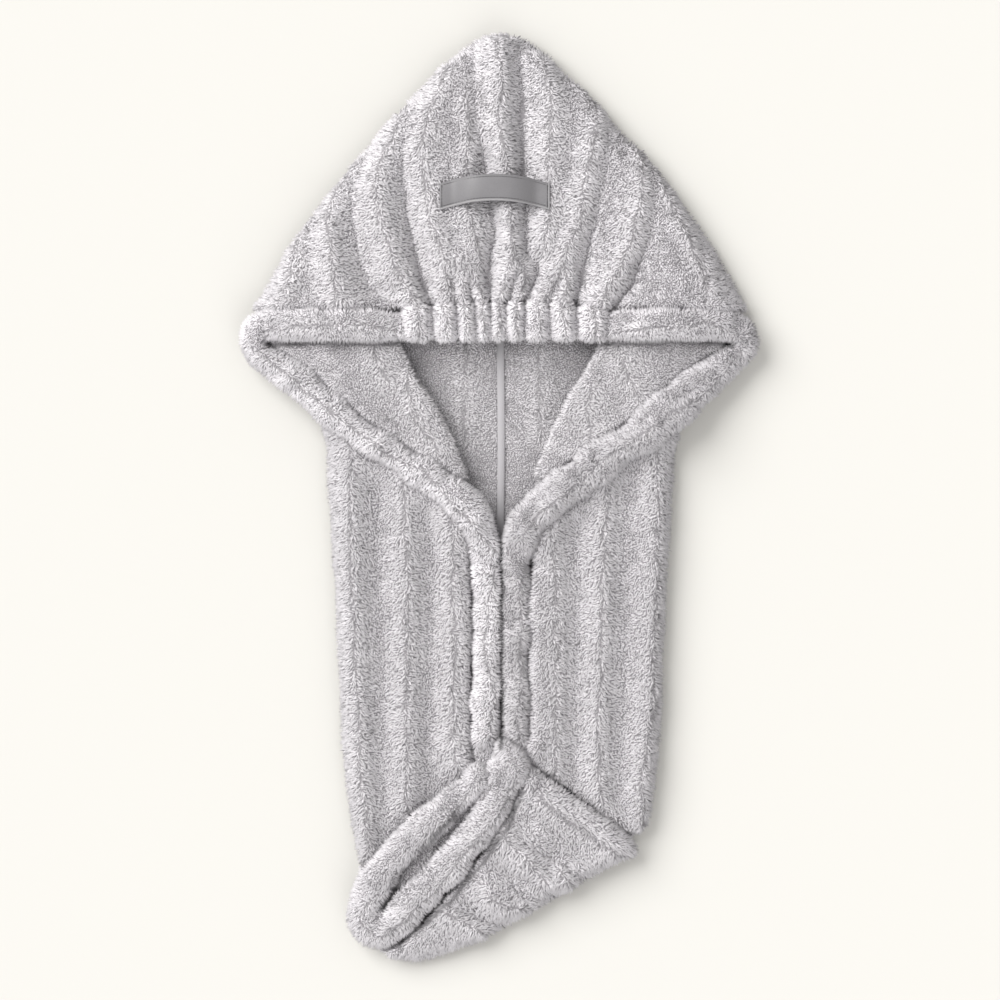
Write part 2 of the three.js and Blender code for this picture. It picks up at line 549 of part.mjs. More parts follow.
const rimRow = (row, top, deep = ROLL) => ({
  o: place(row.ox, row.ou),
  i: place(row.ix, row.iu),
  low: mix(SEAT, top, clamp(row.climb, 0, 1)),
  deep,
});

const meshes = [];
function piece(name, geometry, colour, roughness) {
  const material = new THREE.MeshStandardMaterial({ color: colour, roughness, metalness: 0 });
  const mesh = new THREE.Mesh(geometry, material);
  mesh.name = name;
  meshes.push(mesh);
}
const PLUSH_COLOUR = new THREE.Color(0.72, 0.71, 0.725);
const INSIDE_COLOUR = new THREE.Color(0.66, 0.65, 0.665);

// Back panel: the full outline, flat on the table.
const backRings = OUTLINE.filter((row, k) => k !== 2 && k !== 26).map((row) => {
  const [left, y] = place(row.left + 0.9, row.up - 0.2);
  const [right] = place(row.right - 0.9, row.up);
  const width = right - left;
  return plyRing(spread(width, 3, 0, 0).map((q) => ({
    x: left + q.s, y, z: PLUSH / 2, below: (PLUSH / 2) * q.thin, above: (PLUSH / 2) * q.thin,
  })), false, false);
});
piece('back_panel', loft(backRings, 9), INSIDE_COLOUR, 0.95);

// Crown: ribs and pleats stand on a ply that arches from side fold to side fold.
const crownRibs = (across, up) => {
  const rib = RIB_RISE * ribShare(CROWN_VALLEYS, CROWN_LINES, CROWN_SHARES, across, up);
  const fan = smooth(up, 70, PLEATS_FROM);
  const lines = PINCHES.map((row) => mix(row.nape, row.spread, fan));
  if (across < lines[0] || across > lines[lines.length - 1]) return rib;
  let i = 0;
  while (across > lines[i + 1]) i += 1;
  const phase = (across - lines[i]) / (lines[i + 1] - lines[i]);
  const pleat = PLEAT_RISE * (Math.sin(Math.PI * phase) ** 0.8 - 0.4);
  const weight = 1 - fan;
  return Math.max(rib * (1 - 0.55 * weight) + pleat * weight, -1.2);
};
const crownMid = (up) => mix(SEAT, CROWN_MID, read(CROWN_RISE, 'up', 'share', up));
const crownTop = (across, up) => crownMid(up) + PLUSH / 2 + crownRibs(across, up);
const crownRows = [99.6, 98.7, 97.2, 95, 92, 88.6, 85.2, 82, 79, 76.4, 74.4, 72.8, 71.4, 70.3];
const crownRings = crownRows.map((up, k) => {
  const dip = k === crownRows.length - 1 ? 1 : 1 - smooth(up, 70.3, 77);
  const [left] = place(read(OUTLINE, 'up', 'left', up), up);
  const [right] = place(read(OUTLINE, 'up', 'right', up), up);
  const from = left + PLUSH / 2;
  const width = right - PLUSH / 2 - from;
  const reach = Math.min(TURN, width * 0.34);
  const mid = crownMid(up);
  return plyRing(spread(width, 31, reach, reach).map((q) => {
    const across = ((from + q.s) / (WIDTH / 2)) * 100;
    const line = read(NAPE_LINE, 'across', 'up', across) + 0.14;
    const lean = 5 * smooth(up, 97.5, 99.6) * q.rise;
    const y = place(0, up + (line - 70.3) * dip)[1] - lean;
    const full = smooth(q.rise, 0.4, 1);
    const rise = crownRibs(across, up) * full;
    return { x: from + q.s, y, z: mix(SEAT, mid, q.rise), below: PLUSH / 2, above: PLUSH / 2 + rise };
  }), true, true);
});
piece('crown_panel', loft(crownRings, 39), PLUSH_COLOUR, 0.95);

// Nape casing: plain ends, and lobes between the pinches of its elastic.
const lobes = [];
PINCHES.forEach((row, k) => {
  const steps = k < PINCHES.length - 1 ? [0, 0.3, 0.7] : [0];
  steps.forEach((t) => {
    const across = k < PINCHES.length - 1 ? mix(row.nape, PINCHES[k + 1].nape, t) : row.nape;
    const pull = t === 0 ? 1 : 0;
    const top = read(NAPE_LINE, 'across', 'up', across) - 0.3 * pull;
    lobes.push({
      o: place(across, top),
      i: place(across, 66.55 + 0.35 * pull),
      low: CASING_LOW,
      deep: ROLL - GATHER_RISE * pull,
    });
  });
});
const casing = [
  ...CASING_LEFT.map((row) => rimRow(row, CASING_LOW)),
  ...lobes,
  ...CASING_RIGHT.map((row) => rimRow(row, CASING_LOW)),
];
piece('nape_casing', loft(roll(casing)), PLUSH_COLOUR, 0.95);

// Rims: rolled edge from each corner down the V, then straight down the centre.
function rim(name, table, count) {
  const end = table[table.length - 1];
  const rows = refine(table, 1).map((row) => rimRow(row, LAPEL_LOW));
  const toward = Math.sign(end.ix - end.ox);
  for (let k = 1; k <= count; k += 1) {
    const t = k / count;
    const up = mix(end.ou, HEMS_END, t);
    const along = (t * (end.ou - HEMS_END) * LENGTH) / 100;
    const pinch = 0.5 + 0.5 * Math.cos((2 * Math.PI * (along + 4)) / HEM_PITCH);
    const shut = smooth(t, 0.82, 1);
    const [ox, oy] = place(end.ox, up);
    const [ix, iy] = place(end.ix, mix(end.iu, HEMS_END, t));
    const deep = (ROLL - 0.8 * pinch) * mix(1, 0.55, shut);
    rows.push({
      o: [ox + toward * (HEM_PINCH * pinch + 1.5 * shut), oy],
      i: [ix, iy],
      low: SEAT + (LAPEL_LOW - SEAT) * mix(end.climb, 0.12, shut),
      deep,
    });
  }
  piece(name, loft(roll(rows)), PLUSH_COLOUR, 0.95);
}
rim('left_rim_hem', RIM_LEFT, 13);
rim('right_rim_hem', RIM_RIGHT, 13);

// Front panels: ribs fade where a hem or the flap lies on them.
const below = (table, column, across, up, fade) => {
  const line = read(table, 'ox', column, across);
  return smooth(line - up, 0, fade);
};
function front(name, table, valleys, lines, rimTable, tailTop) {
  const rimLine = rimTable.slice(8, 18).map((row) => ({ ox: row.ox, ou: row.ou }));
  const rings = table.map((row) => {
    const sign = Math.sign(row.side);
    const [side, y] = place(row.side, row.up);
    const [centre] = place(row.centre, row.up);
    const from = side - (sign * PLUSH) / 2;
    const width = Math.abs(centre - from);
    const reach = Math.min(SIDE_TURN, width * 0.4);
    const mid = mix(FRONT_MID, SEAT + PLUSH / 2, row.sink);
    return plyRing(spread(width, 13, reach, 0).map((q) => {
      const x = from - sign * q.s;
      const across = (x / (WIDTH / 2)) * 100;
      const fade = below(rimLine, 'ou', across, row.up, 1.6) * smooth(row.up - tailTop(across), 0.4, 2);
      const rise = RIB_RISE * ribShare(valleys, lines, [1, 1, 1], across, row.up) * fade;
      const full = smooth(q.rise, 0.3, 1);
      return {
        x, y, z: mix(SEAT, mid, q.rise), below: (PLUSH / 2) * q.thin, above: (PLUSH / 2) * q.thin + rise * full * q.thin,
      };
    }), true, false);
  });
  piece(name, loft(rings, 20), PLUSH_COLOUR, 0.95);
}
const leftTail = TAIL_HEM.slice(0, 8);
const rightTail = TAIL_FLAP.slice(0, 6);
front('left_front_panel', FRONT_LEFT, FRONT_VALLEYS_LEFT, ['side', 'outer', 'inner', 'centre'],
  RIM_LEFT, (across) => (across > -7 ? 22 : read(leftTail, 'ox', 'ou', across)));
front('right_front_panel', FRONT_RIGHT, FRONT_VALLEYS_RIGHT, ['centre', 'inner', 'outer', 'side'],
  RIM_RIGHT, (across) => read(rightTail, 'ex', 'eu', across));

// Lapels: the cloth turned back over the front panels, inside out.
function lapel(name, table) {
  const rings = table.map((row) => {
    const [from, y] = place(row.rim, row.up);
    const [to] = place(row.fold, row.up);
    const width = Math.abs(to - from);
    const sign = Math.sign(to - from);
    return plyRing(spread(width, 7, 0, 0).map((q) => {
      const x = from + sign * q.s;
      const across = (x / (WIDTH / 2)) * 100;
      const inward = smooth(Math.abs(across), 58, 88);
      const low = mix(LAPEL_LOW, mix(SEAT, LAPEL_LOW, 0.14), inward);
      const rise = LAPEL_RISE * ribShare(LAPEL_VALLEYS, LAPEL_LINES, null, across, 60);
      return {
        x, y, z: low + PLUSH / 2, below: (PLUSH / 2) * q.thin, above: (PLUSH / 2) * q.thin + rise * smooth(q.s, 2, 9) * q.thin,
      };
    }), false, false);
  });
  piece(name, loft(rings, 13), INSIDE_COLOUR, 0.95);
}
lapel('left_lapel', LAPEL_LEFT);
lapel('right_lapel', LAPEL_RIGHT);

// Tail: rolled hem round its slit, the flap beside it and the inner ply in the slit.
const tailRows = refine(TAIL_HEM, 1).map((row, k, all) => {
  const near = Math.min(k, all.length - 1 - k);
  return rimRow(row, LAPEL_LOW, ROLL * (near === 0 ? 0.8 : 0.95));
});
piece('tail_hem', loft(roll(tailRows)), PLUSH_COLOUR, 0.95);

const swell = (across, up) => TAIL_SWELLS.reduce((sum, dent) => {
  const dx = (across - dent.across) / dent.reach;
  const dy = ((up - dent.up) / dent.reach) * ((2 * LENGTH) / WIDTH);
  return sum + dent.rise * Math.exp(-(dx * dx + dy * dy));
}, 0);
const flapRings = refine(TAIL_FLAP, 0).map((row) => {
  const [hx, hy] = place(row.hx, row.hu);
  const [ex, ey] = place(row.ex, row.eu);
  const long = Math.hypot(ex - hx, ey - hy);
  const turned = row.ec < 0.99;
  const inset = turned ? PLUSH / 2 : 0;
  const width = long - inset;
  const reach = turned ? Math.min(12, width * 0.42) : Math.min(5, width * 0.3);
  const midAt = (climb) => mix(SEAT, LAPEL_LOW, climb) + PLUSH / 2;
  return plyRing(spread(width, 8, 0, reach).map((q) => {
    const t = q.s / long;
    const x = mix(hx, ex, t);
    const y = mix(hy, ey, t);
    const across = (x / (WIDTH / 2)) * 100;
    const up = (y / LENGTH + 0.5) * 100;
    const high = midAt(row.hc);
    const seat = turned ? mix(SEAT, high - 2, row.ec) : high - 1.2;
    const z = q.part === 'end' ? mix(seat, high, q.rise) : high;
    const inner = smooth(q.s, 2, 12) * smooth(width - q.s, 4, 14);
    const fold = row.up === undefined && row.ec > 0.3 ? Math.exp(-(((long - q.s - FLAP_CREASE) / 4) ** 2)) : 0;
    const rise = (1.4 + swell(across, up)) * inner - 1.6 * fold * smooth(q.s, 4, 14);
    return { x, y, z, below: (PLUSH / 2) * q.thin, above: Math.max((PLUSH / 2) * q.thin + rise, 0.6) };
  }), false, turned);
});
piece('tail_flap', loft(flapRings, 15), PLUSH_COLOUR, 0.95);

const innerRings = TAIL_INNER.map((row) => {
  const [ax, ay] = place(row.ax, row.au);
  const [bx, by] = place(row.bx, row.bu);
  const long = Math.hypot(bx - ax, by - ay);
  return plyRing(spread(long, 1, 0, 0).map((q) => ({
    x: mix(ax, bx, q.s / long),
    y: mix(ay, by, q.s / long),
    z: mix(SEAT, LAPEL_LOW - PLUSH - CLEAR, row.climb) + PLUSH / 2,
    below: (PLUSH / 2) * q.thin,
    above: (PLUSH / 2) * q.thin,
  })), false, false);
});
piece('tail_inner_ply', loft(innerRings, 7), INSIDE_COLOUR, 0.95);

// Binding tape over the centre seam inside the back.
const tapeRings = [79, 74, 69, 64, 59, 54, 49, 44.4].map((up) => {
  const [x, y] = place(1, up);
  const half = BINDING_WIDTH / 2;
  const profile = [[-1, 0], [-0.85, 0.7], [-0.4, 1], [0.4, 1], [0.85, 0.7], [1, 0]];
  return profile.map(([a, h]) => [x + a * half, y, SEAT + h * BINDING_THICK]);
});
piece('seam_binding', loft(tapeRings), new THREE.Color(0.76, 0.75, 0.765), 0.8);

// Strap: sewn down at both ends, bowed towards the apex and raised in its middle.
const STRAP_CENTRE = { across: -1.8, up: 81.9 };
const strapStations = [0, 0.03, 0.1, 0.16, 0.24, 0.34, 0.44, 0.5, 0.56, 0.66, 0.76, 0.84, 0.9, 0.97, 1];
const strapBase = place(STRAP_CENTRE.across, STRAP_CENTRE.up);
const padTop = (side) => {
  let top = 0;
  for (let a = 0; a <= 1; a += 0.25) {
    for (let b = -0.5; b <= 0.5; b += 0.25) {
      const x = strapBase[0] + side * (STRAP_LENGTH / 2 - a * STRAP_PAD * 1.3);
      const y = strapBase[1] + b * STRAP_WIDTH;
      top = Math.max(top, crownTop((x / (WIDTH / 2)) * 100, (y / LENGTH + 0.5) * 100));
    }
  }
  return top + CLEAR;
};
const padLeft = padTop(-1);
const padRight = padTop(1);
const strapRings = strapStations.map((s) => {
  const pad = STRAP_PAD / STRAP_LENGTH;
  const inner = clamp((s - pad) / (1 - 2 * pad), 0, 1);
  const bow = (t) => 1 - (2 * t - 1) ** 2;
  const x = strapBase[0] + (s - 0.5) * STRAP_LENGTH;
  const y = strapBase[1] + STRAP_BOW * bow(s);
  const slope = (STRAP_BOW * -4 * (2 * s - 1)) / STRAP_LENGTH;
  const d = Math.hypot(1, slope);
  const low = mix(padLeft, padRight, s) + STRAP_LIFT * smooth(bow(inner), 0, 1);
  const half = STRAP_WIDTH / 2;
  const profile = [[-1, 0.25], [-0.94, 0.85], [-0.8, 1], [0.8, 1], [0.94, 0.85], [1, 0.25], [0.94, 0], [-0.94, 0]];
  return profile.map(([a, h]) => [
    x - (slope / d) * a * half,
    y + (1 / d) * a * half,
    low + h * STRAP_THICK,
  ]);
});
piece('crown_strap', loft(strapRings), new THREE.Color(0.5, 0.49, 0.51), 0.55);

// The frame's origin is the middle of the towel's footprint, on the table.
const laid = new THREE.Group();
meshes.forEach((mesh) => laid.add(mesh));
const middle = new THREE.Box3().setFromObject(laid).getCenter(new THREE.Vector3());
laid.position.set(-middle.x, -middle.y, 0);

const turban = new THREE.Group();
turban.name = 'hair_turban_towel';
turban.add(laid);
export default turban;
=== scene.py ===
import json
import math

import bpy
import numpy as np
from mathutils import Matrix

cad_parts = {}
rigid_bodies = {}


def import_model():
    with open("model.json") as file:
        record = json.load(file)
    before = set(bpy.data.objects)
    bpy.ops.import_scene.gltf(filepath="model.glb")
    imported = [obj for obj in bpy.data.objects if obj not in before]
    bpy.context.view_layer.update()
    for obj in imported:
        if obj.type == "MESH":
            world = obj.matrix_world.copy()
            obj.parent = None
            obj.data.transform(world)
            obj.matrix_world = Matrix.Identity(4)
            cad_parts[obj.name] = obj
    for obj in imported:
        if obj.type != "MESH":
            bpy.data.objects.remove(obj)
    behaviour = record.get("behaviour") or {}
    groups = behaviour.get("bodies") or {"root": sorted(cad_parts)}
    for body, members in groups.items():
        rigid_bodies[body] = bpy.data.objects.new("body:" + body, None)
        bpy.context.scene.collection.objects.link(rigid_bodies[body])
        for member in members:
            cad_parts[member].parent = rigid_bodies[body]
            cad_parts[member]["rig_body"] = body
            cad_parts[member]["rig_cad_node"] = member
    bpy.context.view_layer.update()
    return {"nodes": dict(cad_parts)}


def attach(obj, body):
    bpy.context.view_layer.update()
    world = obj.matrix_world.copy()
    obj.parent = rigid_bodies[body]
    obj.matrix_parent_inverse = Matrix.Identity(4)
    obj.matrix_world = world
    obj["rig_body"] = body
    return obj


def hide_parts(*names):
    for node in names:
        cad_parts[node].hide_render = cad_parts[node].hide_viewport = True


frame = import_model()
MM = 0.001

# Where a point of the plan lies on the towel, in millimetres: the plan counts a thousand steps a side.
PLAN_STEP = 0.63966


def across(step):
    return (step - 498.5) * PLAN_STEP


def along(step):
    return (968 - step) * PLAN_STEP - 301.8


# The room: floor, lights and camera.


def leave_all():
    """Out of edit mode with nothing selected."""
    if bpy.context.object and bpy.context.object.mode != "OBJECT":
        bpy.ops.object.mode_set(mode="OBJECT")
    bpy.ops.object.select_all(action="DESELECT")


def take(piece):
    """Only this piece is selected and active."""
    leave_all()
    piece.select_set(True)
    bpy.context.view_layer.objects.active = piece


def lay_floor():
    leave_all()
    bpy.ops.mesh.primitive_plane_add(size=8, location=(0, 0, 0))
    floor = bpy.context.object
    floor.name = "floor"
    paper = bpy.data.materials.new("warm_white_paper")
    paper.use_nodes = True
    shader = paper.node_tree.nodes["Principled BSDF"]
    shader.inputs["Base Color"].default_value = (0.586, 0.579, 0.557, 1)
    shader.inputs["Roughness"].default_value = 0.9
    shader.inputs["Specular IOR Level"].default_value = 0.1
    floor.data.materials.append(paper)


def hang_light(name, place, strength, softness, tint):
    """A wide even light that shines from that place towards the middle of the floor."""
    leave_all()
    bpy.ops.object.light_add(type="SUN", location=place)
    lamp = bpy.context.object
    lamp.name = name
    lamp.data.energy = strength
    lamp.data.angle = math.radians(softness)
    lamp.data.color = tint
    flat = math.hypot(place[0], place[1])
    lamp.rotation_euler = (math.atan2(flat, place[2]), 0, math.atan2(-place[1], -place[0]) - math.pi / 2)


def set_camera():
    """Straight above the towel's middle, and so far zoomed in that the plan fills the picture."""
    leave_all()
    height, sensor = 3.0, 36
    bpy.ops.object.camera_add(location=(0.96 * MM, -2.44 * MM, height), rotation=(0, 0, 0))
    camera = bpy.context.object
    camera.data.sensor_width = sensor
    camera.data.lens = sensor * height / (1000 * PLAN_STEP * MM)
    camera.data.clip_end = 20
    bpy.context.scene.camera = camera


def light_room():
    world = bpy.context.scene.world or bpy.data.worlds.new("studio")
    bpy.context.scene.world = world
    world.use_nodes = True
    back = world.node_tree.nodes["Background"]
    back.inputs["Color"].default_value = (1.0, 0.989, 0.968, 1)
    back.inputs["Strength"].default_value = 0.7
    hang_light("window_upper_left", (-1.5, 1.15, 1.75), strength=3.5, softness=46, tint=(1, 0.99, 0.97))
    hang_light("white_board_below", (0.3, -1.7, 1.3), strength=1.15, softness=60, tint=(1, 0.99, 0.98))
    bpy.context.scene.view_settings.view_transform = "Standard"


# Soft noise, for pile that curls in tufts.


def dice(cells, seed):
    """A number from 0 to 1 for each row of whole numbers, the same each time."""
    mixed = np.zeros(len(cells), np.uint64) + np.uint64(seed * 7919 + 17)
    for k, prime in enumerate((73856093, 19349663, 83492791)[: cells.shape[1]]):
        mixed = mixed ^ (cells[:, k].astype(np.int64).astype(np.uint64) * np.uint64(prime))
        mixed = (mixed ^ (mixed >> np.uint64(15))) * np.uint64(0x2C1B3C6D)
        mixed = mixed & np.uint64(0xFFFFFFFF)
        mixed = (mixed ^ (mixed >> np.uint64(12))) * np.uint64(0x297A2D39)
        mixed = mixed & np.uint64(0xFFFFFFFF)
    mixed = mixed ^ (mixed >> np.uint64(15))
    return (mixed & np.uint64(0xFFFFFF)).astype(np.float64) / 0xFFFFFF


def cloud(points, size, seed):
    """Smooth noise from -1 to 1 with lumps of that size."""
    p = points / size
    low = np.floor(p).astype(np.int64)
    t = p - low
    t = t * t * (3 - 2 * t)
    total = np.zeros(len(points))
    for corner in np.ndindex(2, 2, 2):
        step = np.array(corner)
        weight = np.prod(np.where(step, t, 1 - t), axis=1)
        total += weight * dice(low + step, seed)
    return total * 2 - 1


def unit(v):
    return v / np.maximum(np.linalg.norm(v, axis=1, keepdims=True), 1e-12)


# Lines on the towel that its cloth and its pile follow.

# Each line is a row of (across, along) steps of the plan. The pile parts along the crests of the ribs.
CROWN_PARTINGS = [
    [(352, 165), (340, 180), (327, 220), (333, 267), (340, 307)],
    [(400, 122), (387, 147), (377, 187), (381, 220), (390, 247), (400, 275), (414, 303)],
    [(447, 75), (430, 113), (421, 153), (426, 190), (430, 220), (443, 258), (452, 268)],
    [(443, 262), (450, 285), (452, 303)],
    [(462, 264), (478, 285), (486, 303)],
    [(455, 264), (463, 285), (466, 303)],
    [(499, 36), (502, 90), (500, 130), (508, 178)],
    [(510, 205), (513, 240), (515, 258), (507, 275), (500, 303)],
    [(516, 262), (524, 280), (522, 303)],
    [(467, 108), (471, 150), (465, 176)],
    [(467, 208), (474, 235), (482, 262)],
    [(545, 66), (552, 110), (546, 160), (548, 215), (543, 250)],
    [(575, 75), (597, 117), (592, 150), (583, 195), (579, 225), (568, 250), (560, 270), (545, 303)],
    [(563, 268), (567, 285), (561, 303)],
    [(632, 130), (641, 160), (640, 200), (628, 250), (614, 278), (601, 305)],
    [(655, 170), (672, 205), (690, 240), (705, 290)],
    [(310, 215), (295, 250), (287, 290)],
]
# Pleats run up from the casing; the third number is how deep the crease is there.
CROWN_CREASES = [
    [(346, 160, 0.1), (352, 210, 0.35), (360, 262, 0.5), (371, 290, 0.55), (400, 311, 0.5)],
    [(405, 105, 0.1), (403, 180, 0.4), (410, 228, 0.6), (421, 273, 0.85), (431, 305, 1)],
    [(452, 270, 0.1), (456.5, 305, 0.9)],
    [(469, 272, 0.2), (471.5, 305, 0.9)],
    [(475, 42, 0.2), (471.7, 86, 0.5), (476, 130, 0.6), (486, 175, 0.7), (489, 207, 0.7), (494, 232, 0.6)],
    [(494, 232, 0.6), (488, 266, 0.9), (490, 305, 1)],
    [(520, 45, 0.3), (522, 103, 0.8), (523, 177, 0.8), (525, 207, 0.7), (525, 253, 0.5), (537, 267, 0.3)],
    [(518, 273, 0.3), (508, 305, 0.9)],
    [(541, 250, 0.3), (538, 267, 0.6), (531, 287, 1), (525.5, 305, 1)],
    [(560, 280, 0.3), (549, 305, 0.9)],
    [(608, 125, 0.1), (603, 180, 0.3), (592, 230, 0.55), (585, 260, 0.8), (580, 283, 0.9), (574, 306, 1)],
    [(655, 190, 0.1), (649, 233, 0.3), (636, 271, 0.6), (630, 287, 0.8), (612, 311, 0.9)],
    [(700, 250, 0.1), (706, 300, 0.4)],
    [(245, 317, 0.25), (320, 313, 0.25), (400, 311, 0.25)],
    [(612, 311, 0.25), (680, 312, 0.25), (752, 318, 0.25)],
]
CASING_PARTINGS = [
    [(262, 331), (300, 327), (345, 326), (394, 329)],
    [(614, 334), (655, 328), (700, 325), (738, 331)],
    [(417, 306), (420, 326), (418, 343)],
    [(444, 306), (446, 326), (447, 343)],
    [(466, 306), (468, 326), (466, 343)],
    [(483, 306), (484, 343)],
    [(499, 306), (498, 343)],
    [(515, 306), (515, 326), (517, 343)],
    [(536, 306), (539, 326), (540, 343)],
    [(562, 306), (563, 326), (566, 343)],
    [(592, 308), (594, 326), (596, 343)],
]
CASING_CREASES = [
    [(402, 308, 0.5), (406, 346, 0.4)],
    [(432, 302, 1), (435, 346, 0.9)],
    [(456.5, 302, 1), (459, 346, 0.9)],
    [(471.5, 302, 0.4), (475.5, 310, 1), (476.5, 346, 1)],
    [(490.5, 302, 1), (491, 346, 1)],
    [(507, 302, 1), (506, 346, 1)],
    [(525, 302, 1), (524, 346, 1)],
    [(549, 302, 1), (549, 346, 0.9)],
    [(575, 304, 1), (576.5, 346, 0.8)],
    [(609, 306, 0.6), (604, 346, 0.5)],
]
FRONT_PARTINGS = [
    [(349, 400), (352, 560), (355, 660), (359, 703), (363, 779), (368, 832), (372, 880)],
    [(402, 440), (407, 560), (407, 640), (406, 712), (408, 797), (416, 835)],
    [(450, 490), (453, 560), (455, 640), (454, 746), (460, 785)],
    [(551, 510), (555, 600), (556, 701), (554, 770)],
    [(608, 450), (602, 560), (599, 673), (598, 703), (597, 752), (600, 792), (612, 820)],
    [(659, 410), (656, 560), (653, 701), (648, 740), (641, 779), (646, 830)],
]
LAPEL_PARTINGS = [
    [(378, 345), (379, 365), (388, 385)],
    [(407, 385), (418, 424), (438, 450)],
    [(618, 345), (627, 376), (640, 400)],
    [(590, 390), (586, 415), (592, 440)],
]
RIM_PARTINGS = [
    [(262, 352), (300, 388), (350, 424), (390, 458), (424, 470), (439, 490), (456, 507), (481, 530),
     (494, 552)],
    [(492, 575), (487, 612), (487, 640), (493, 690), (489, 735)],
    [(738, 352), (700, 398), (661, 422), (624, 444), (596, 466), (561, 499), (533, 522), (521, 541)],
    [(519, 587), (521, 633), (521, 684), (520, 735)],
]
# Short creases across the hems, where they are drawn in between their lumps.
HEM_CREASES = [
    [(470, 561, 0.8), (482, 566, 0.5), (490, 561, 0.2)],
    [(471, 622, 0.8), (480, 618, 0.7), (490, 613, 0.4)],
    [(501, 598, 0.9), (493, 603, 0.3)],
    [(471, 668, 0.7), (482, 672, 0.3)],
    [(501, 657, 0.8), (492, 650, 0.3)],
    [(471, 716, 0.7), (484, 711, 0.3)],
    [(501, 700, 0.7), (494, 706, 0.3)],
    [(529, 566, 0.8), (519, 561, 0.4)],
    [(529, 612, 0.8), (516, 622, 0.5), (508, 626, 0.3)],
    [(529, 655, 0.7), (520, 650, 0.3)],
    [(502, 574, 0.8), (510, 578, 0.3)],
    [(502, 680, 0.8), (511, 674, 0.3)],
    [(529, 702, 0.7), (517, 712, 0.3)],
    [(459, 519, 0.8), (468, 512, 0.4)],
    [(421, 486, 0.8), (428, 477, 0.4)],
    [(380, 459, 0.7), (390, 447, 0.4)],
    [(336, 428, 0.7), (346, 414, 0.4)],
    [(290, 394, 0.7), (301, 383, 0.4)],
    [(486, 520, 0.7), (478, 527, 0.4)],
    [(447, 478, 0.7), (440, 488, 0.3)],
    [(399, 444, 0.7), (393, 452, 0.3)],
    [(541, 531, 0.7), (533, 521, 0.4)],
    [(577, 497, 0.7), (570, 487, 0.4)],
    [(625, 462, 0.7), (617, 452, 0.4)],
    [(668, 434, 0.7), (660, 424, 0.4)],
    [(709, 401, 0.7), (701, 393, 0.4)],
    [(548, 496, 0.7), (555, 504, 0.3)],
    [(596, 455, 0.7), (602, 463, 0.3)],
    [(645, 419, 0.7), (650, 428, 0.3)],
    [(452, 800, 0.7), (444, 808, 0.4)],
    [(412, 838, 0.7), (424, 846, 0.4)],
    [(366, 886, 0.7), (380, 892, 0.4)],
    [(490, 835, 0.7), (480, 828, 0.4)],
    [(445, 890, 0.7), (436, 882, 0.4)],
    [(400, 934, 0.7), (396, 922, 0.4)],
]
TAIL_HEM_PARTINGS = [
    [(472, 786), (454, 810), (437, 825), (403, 868), (385, 892), (368, 903)],
    [(363, 921), (381, 936), (403, 923), (434, 890), (463, 850), (490, 822), (508, 796), (517, 778)],
]
FLAP_PARTINGS = [
    [(541, 797), (566, 817), (597, 838), (624, 856)],
    [(506, 837), (523, 854), (545, 880)],
    [(490, 897), (508, 904), (534, 911)],
    [(448, 912), (472, 927), (500, 936)],
    [(560, 872), (575, 888), (580, 896)],
]
FLAP_SIDE = [[(528, 770), (512, 808), (480, 852), (443, 897), (405, 938), (385, 950)]]
FLAP_CREASES = [
    [(523, 775, 0.6), (508, 808, 1), (494, 824, 1), (474, 854, 1), (454, 879, 1), (437, 897, 0.9),
     (403, 934, 0.4)],
    [(532, 785, 0.4), (545, 801, 0.9), (570, 822, 1), (601, 843, 1), (622, 851, 0.4)],
    [(500, 866, 0.3), (530, 878, 0.8), (556, 897, 0.7)],
    [(520, 838, 0.3), (552, 858, 0.8), (585, 880, 0.7)],
    [(452, 905, 0.4), (478, 918, 0.7), (502, 924, 0.5)],
]
# Where the crown meets the casing along the nape.
NAPE_SEAM = [[(245, 315), (320, 310), (400, 306), (498, 304), (600, 306), (680, 309), (752, 315)]]
CASING_ENDS = [[(262, 316), (260, 346)], [(738, 314), (741, 346)]]
# Where the tail is folded up over the fronts, and its two corners beside the centre hems.
TAIL_EDGE = [
    [(474, 772), (440, 805), (400, 845), (362, 895)],
    [(524, 770), (560, 800), (600, 824), (640, 852)],
]
FOLD_CORNERS = [[(473, 764), (484, 772)], [(528, 755), (529, 772)]]
BACK_PARTINGS = [[(464, 350), (466, 440)], [(540, 350), (538, 440)]]
# Lines that a front is crowded along: how far it swells there, out to what distance and over what fade.
BESIDE_HEMS = [(RIM_PARTINGS, 3.8, 20, 8), (RIM_PARTINGS, 0.9, 13, 4), (FOLD_CORNERS, 5.0, 14, 9)]
# Where the two centre hems press together; the pile is painted darker along it, as shade.
CENTRE_SEAM = [
    [(502, 528), (500, 560), (503, 585), (500, 610), (503, 640), (501, 670), (503, 700), (502, 745)],
]
# Where other pieces press together and little light gets in between them; the pile is painted darker along
# them, as shade.
DARK_SEAMS = [
    [(455, 812), (435, 832), (405, 868), (380, 905)],
    [(524, 790), (508, 826), (478, 868), (444, 906), (400, 944)],
    [(268, 346), (330, 343), (396, 345)],
    [(604, 345), (670, 342), (733, 345)],
]


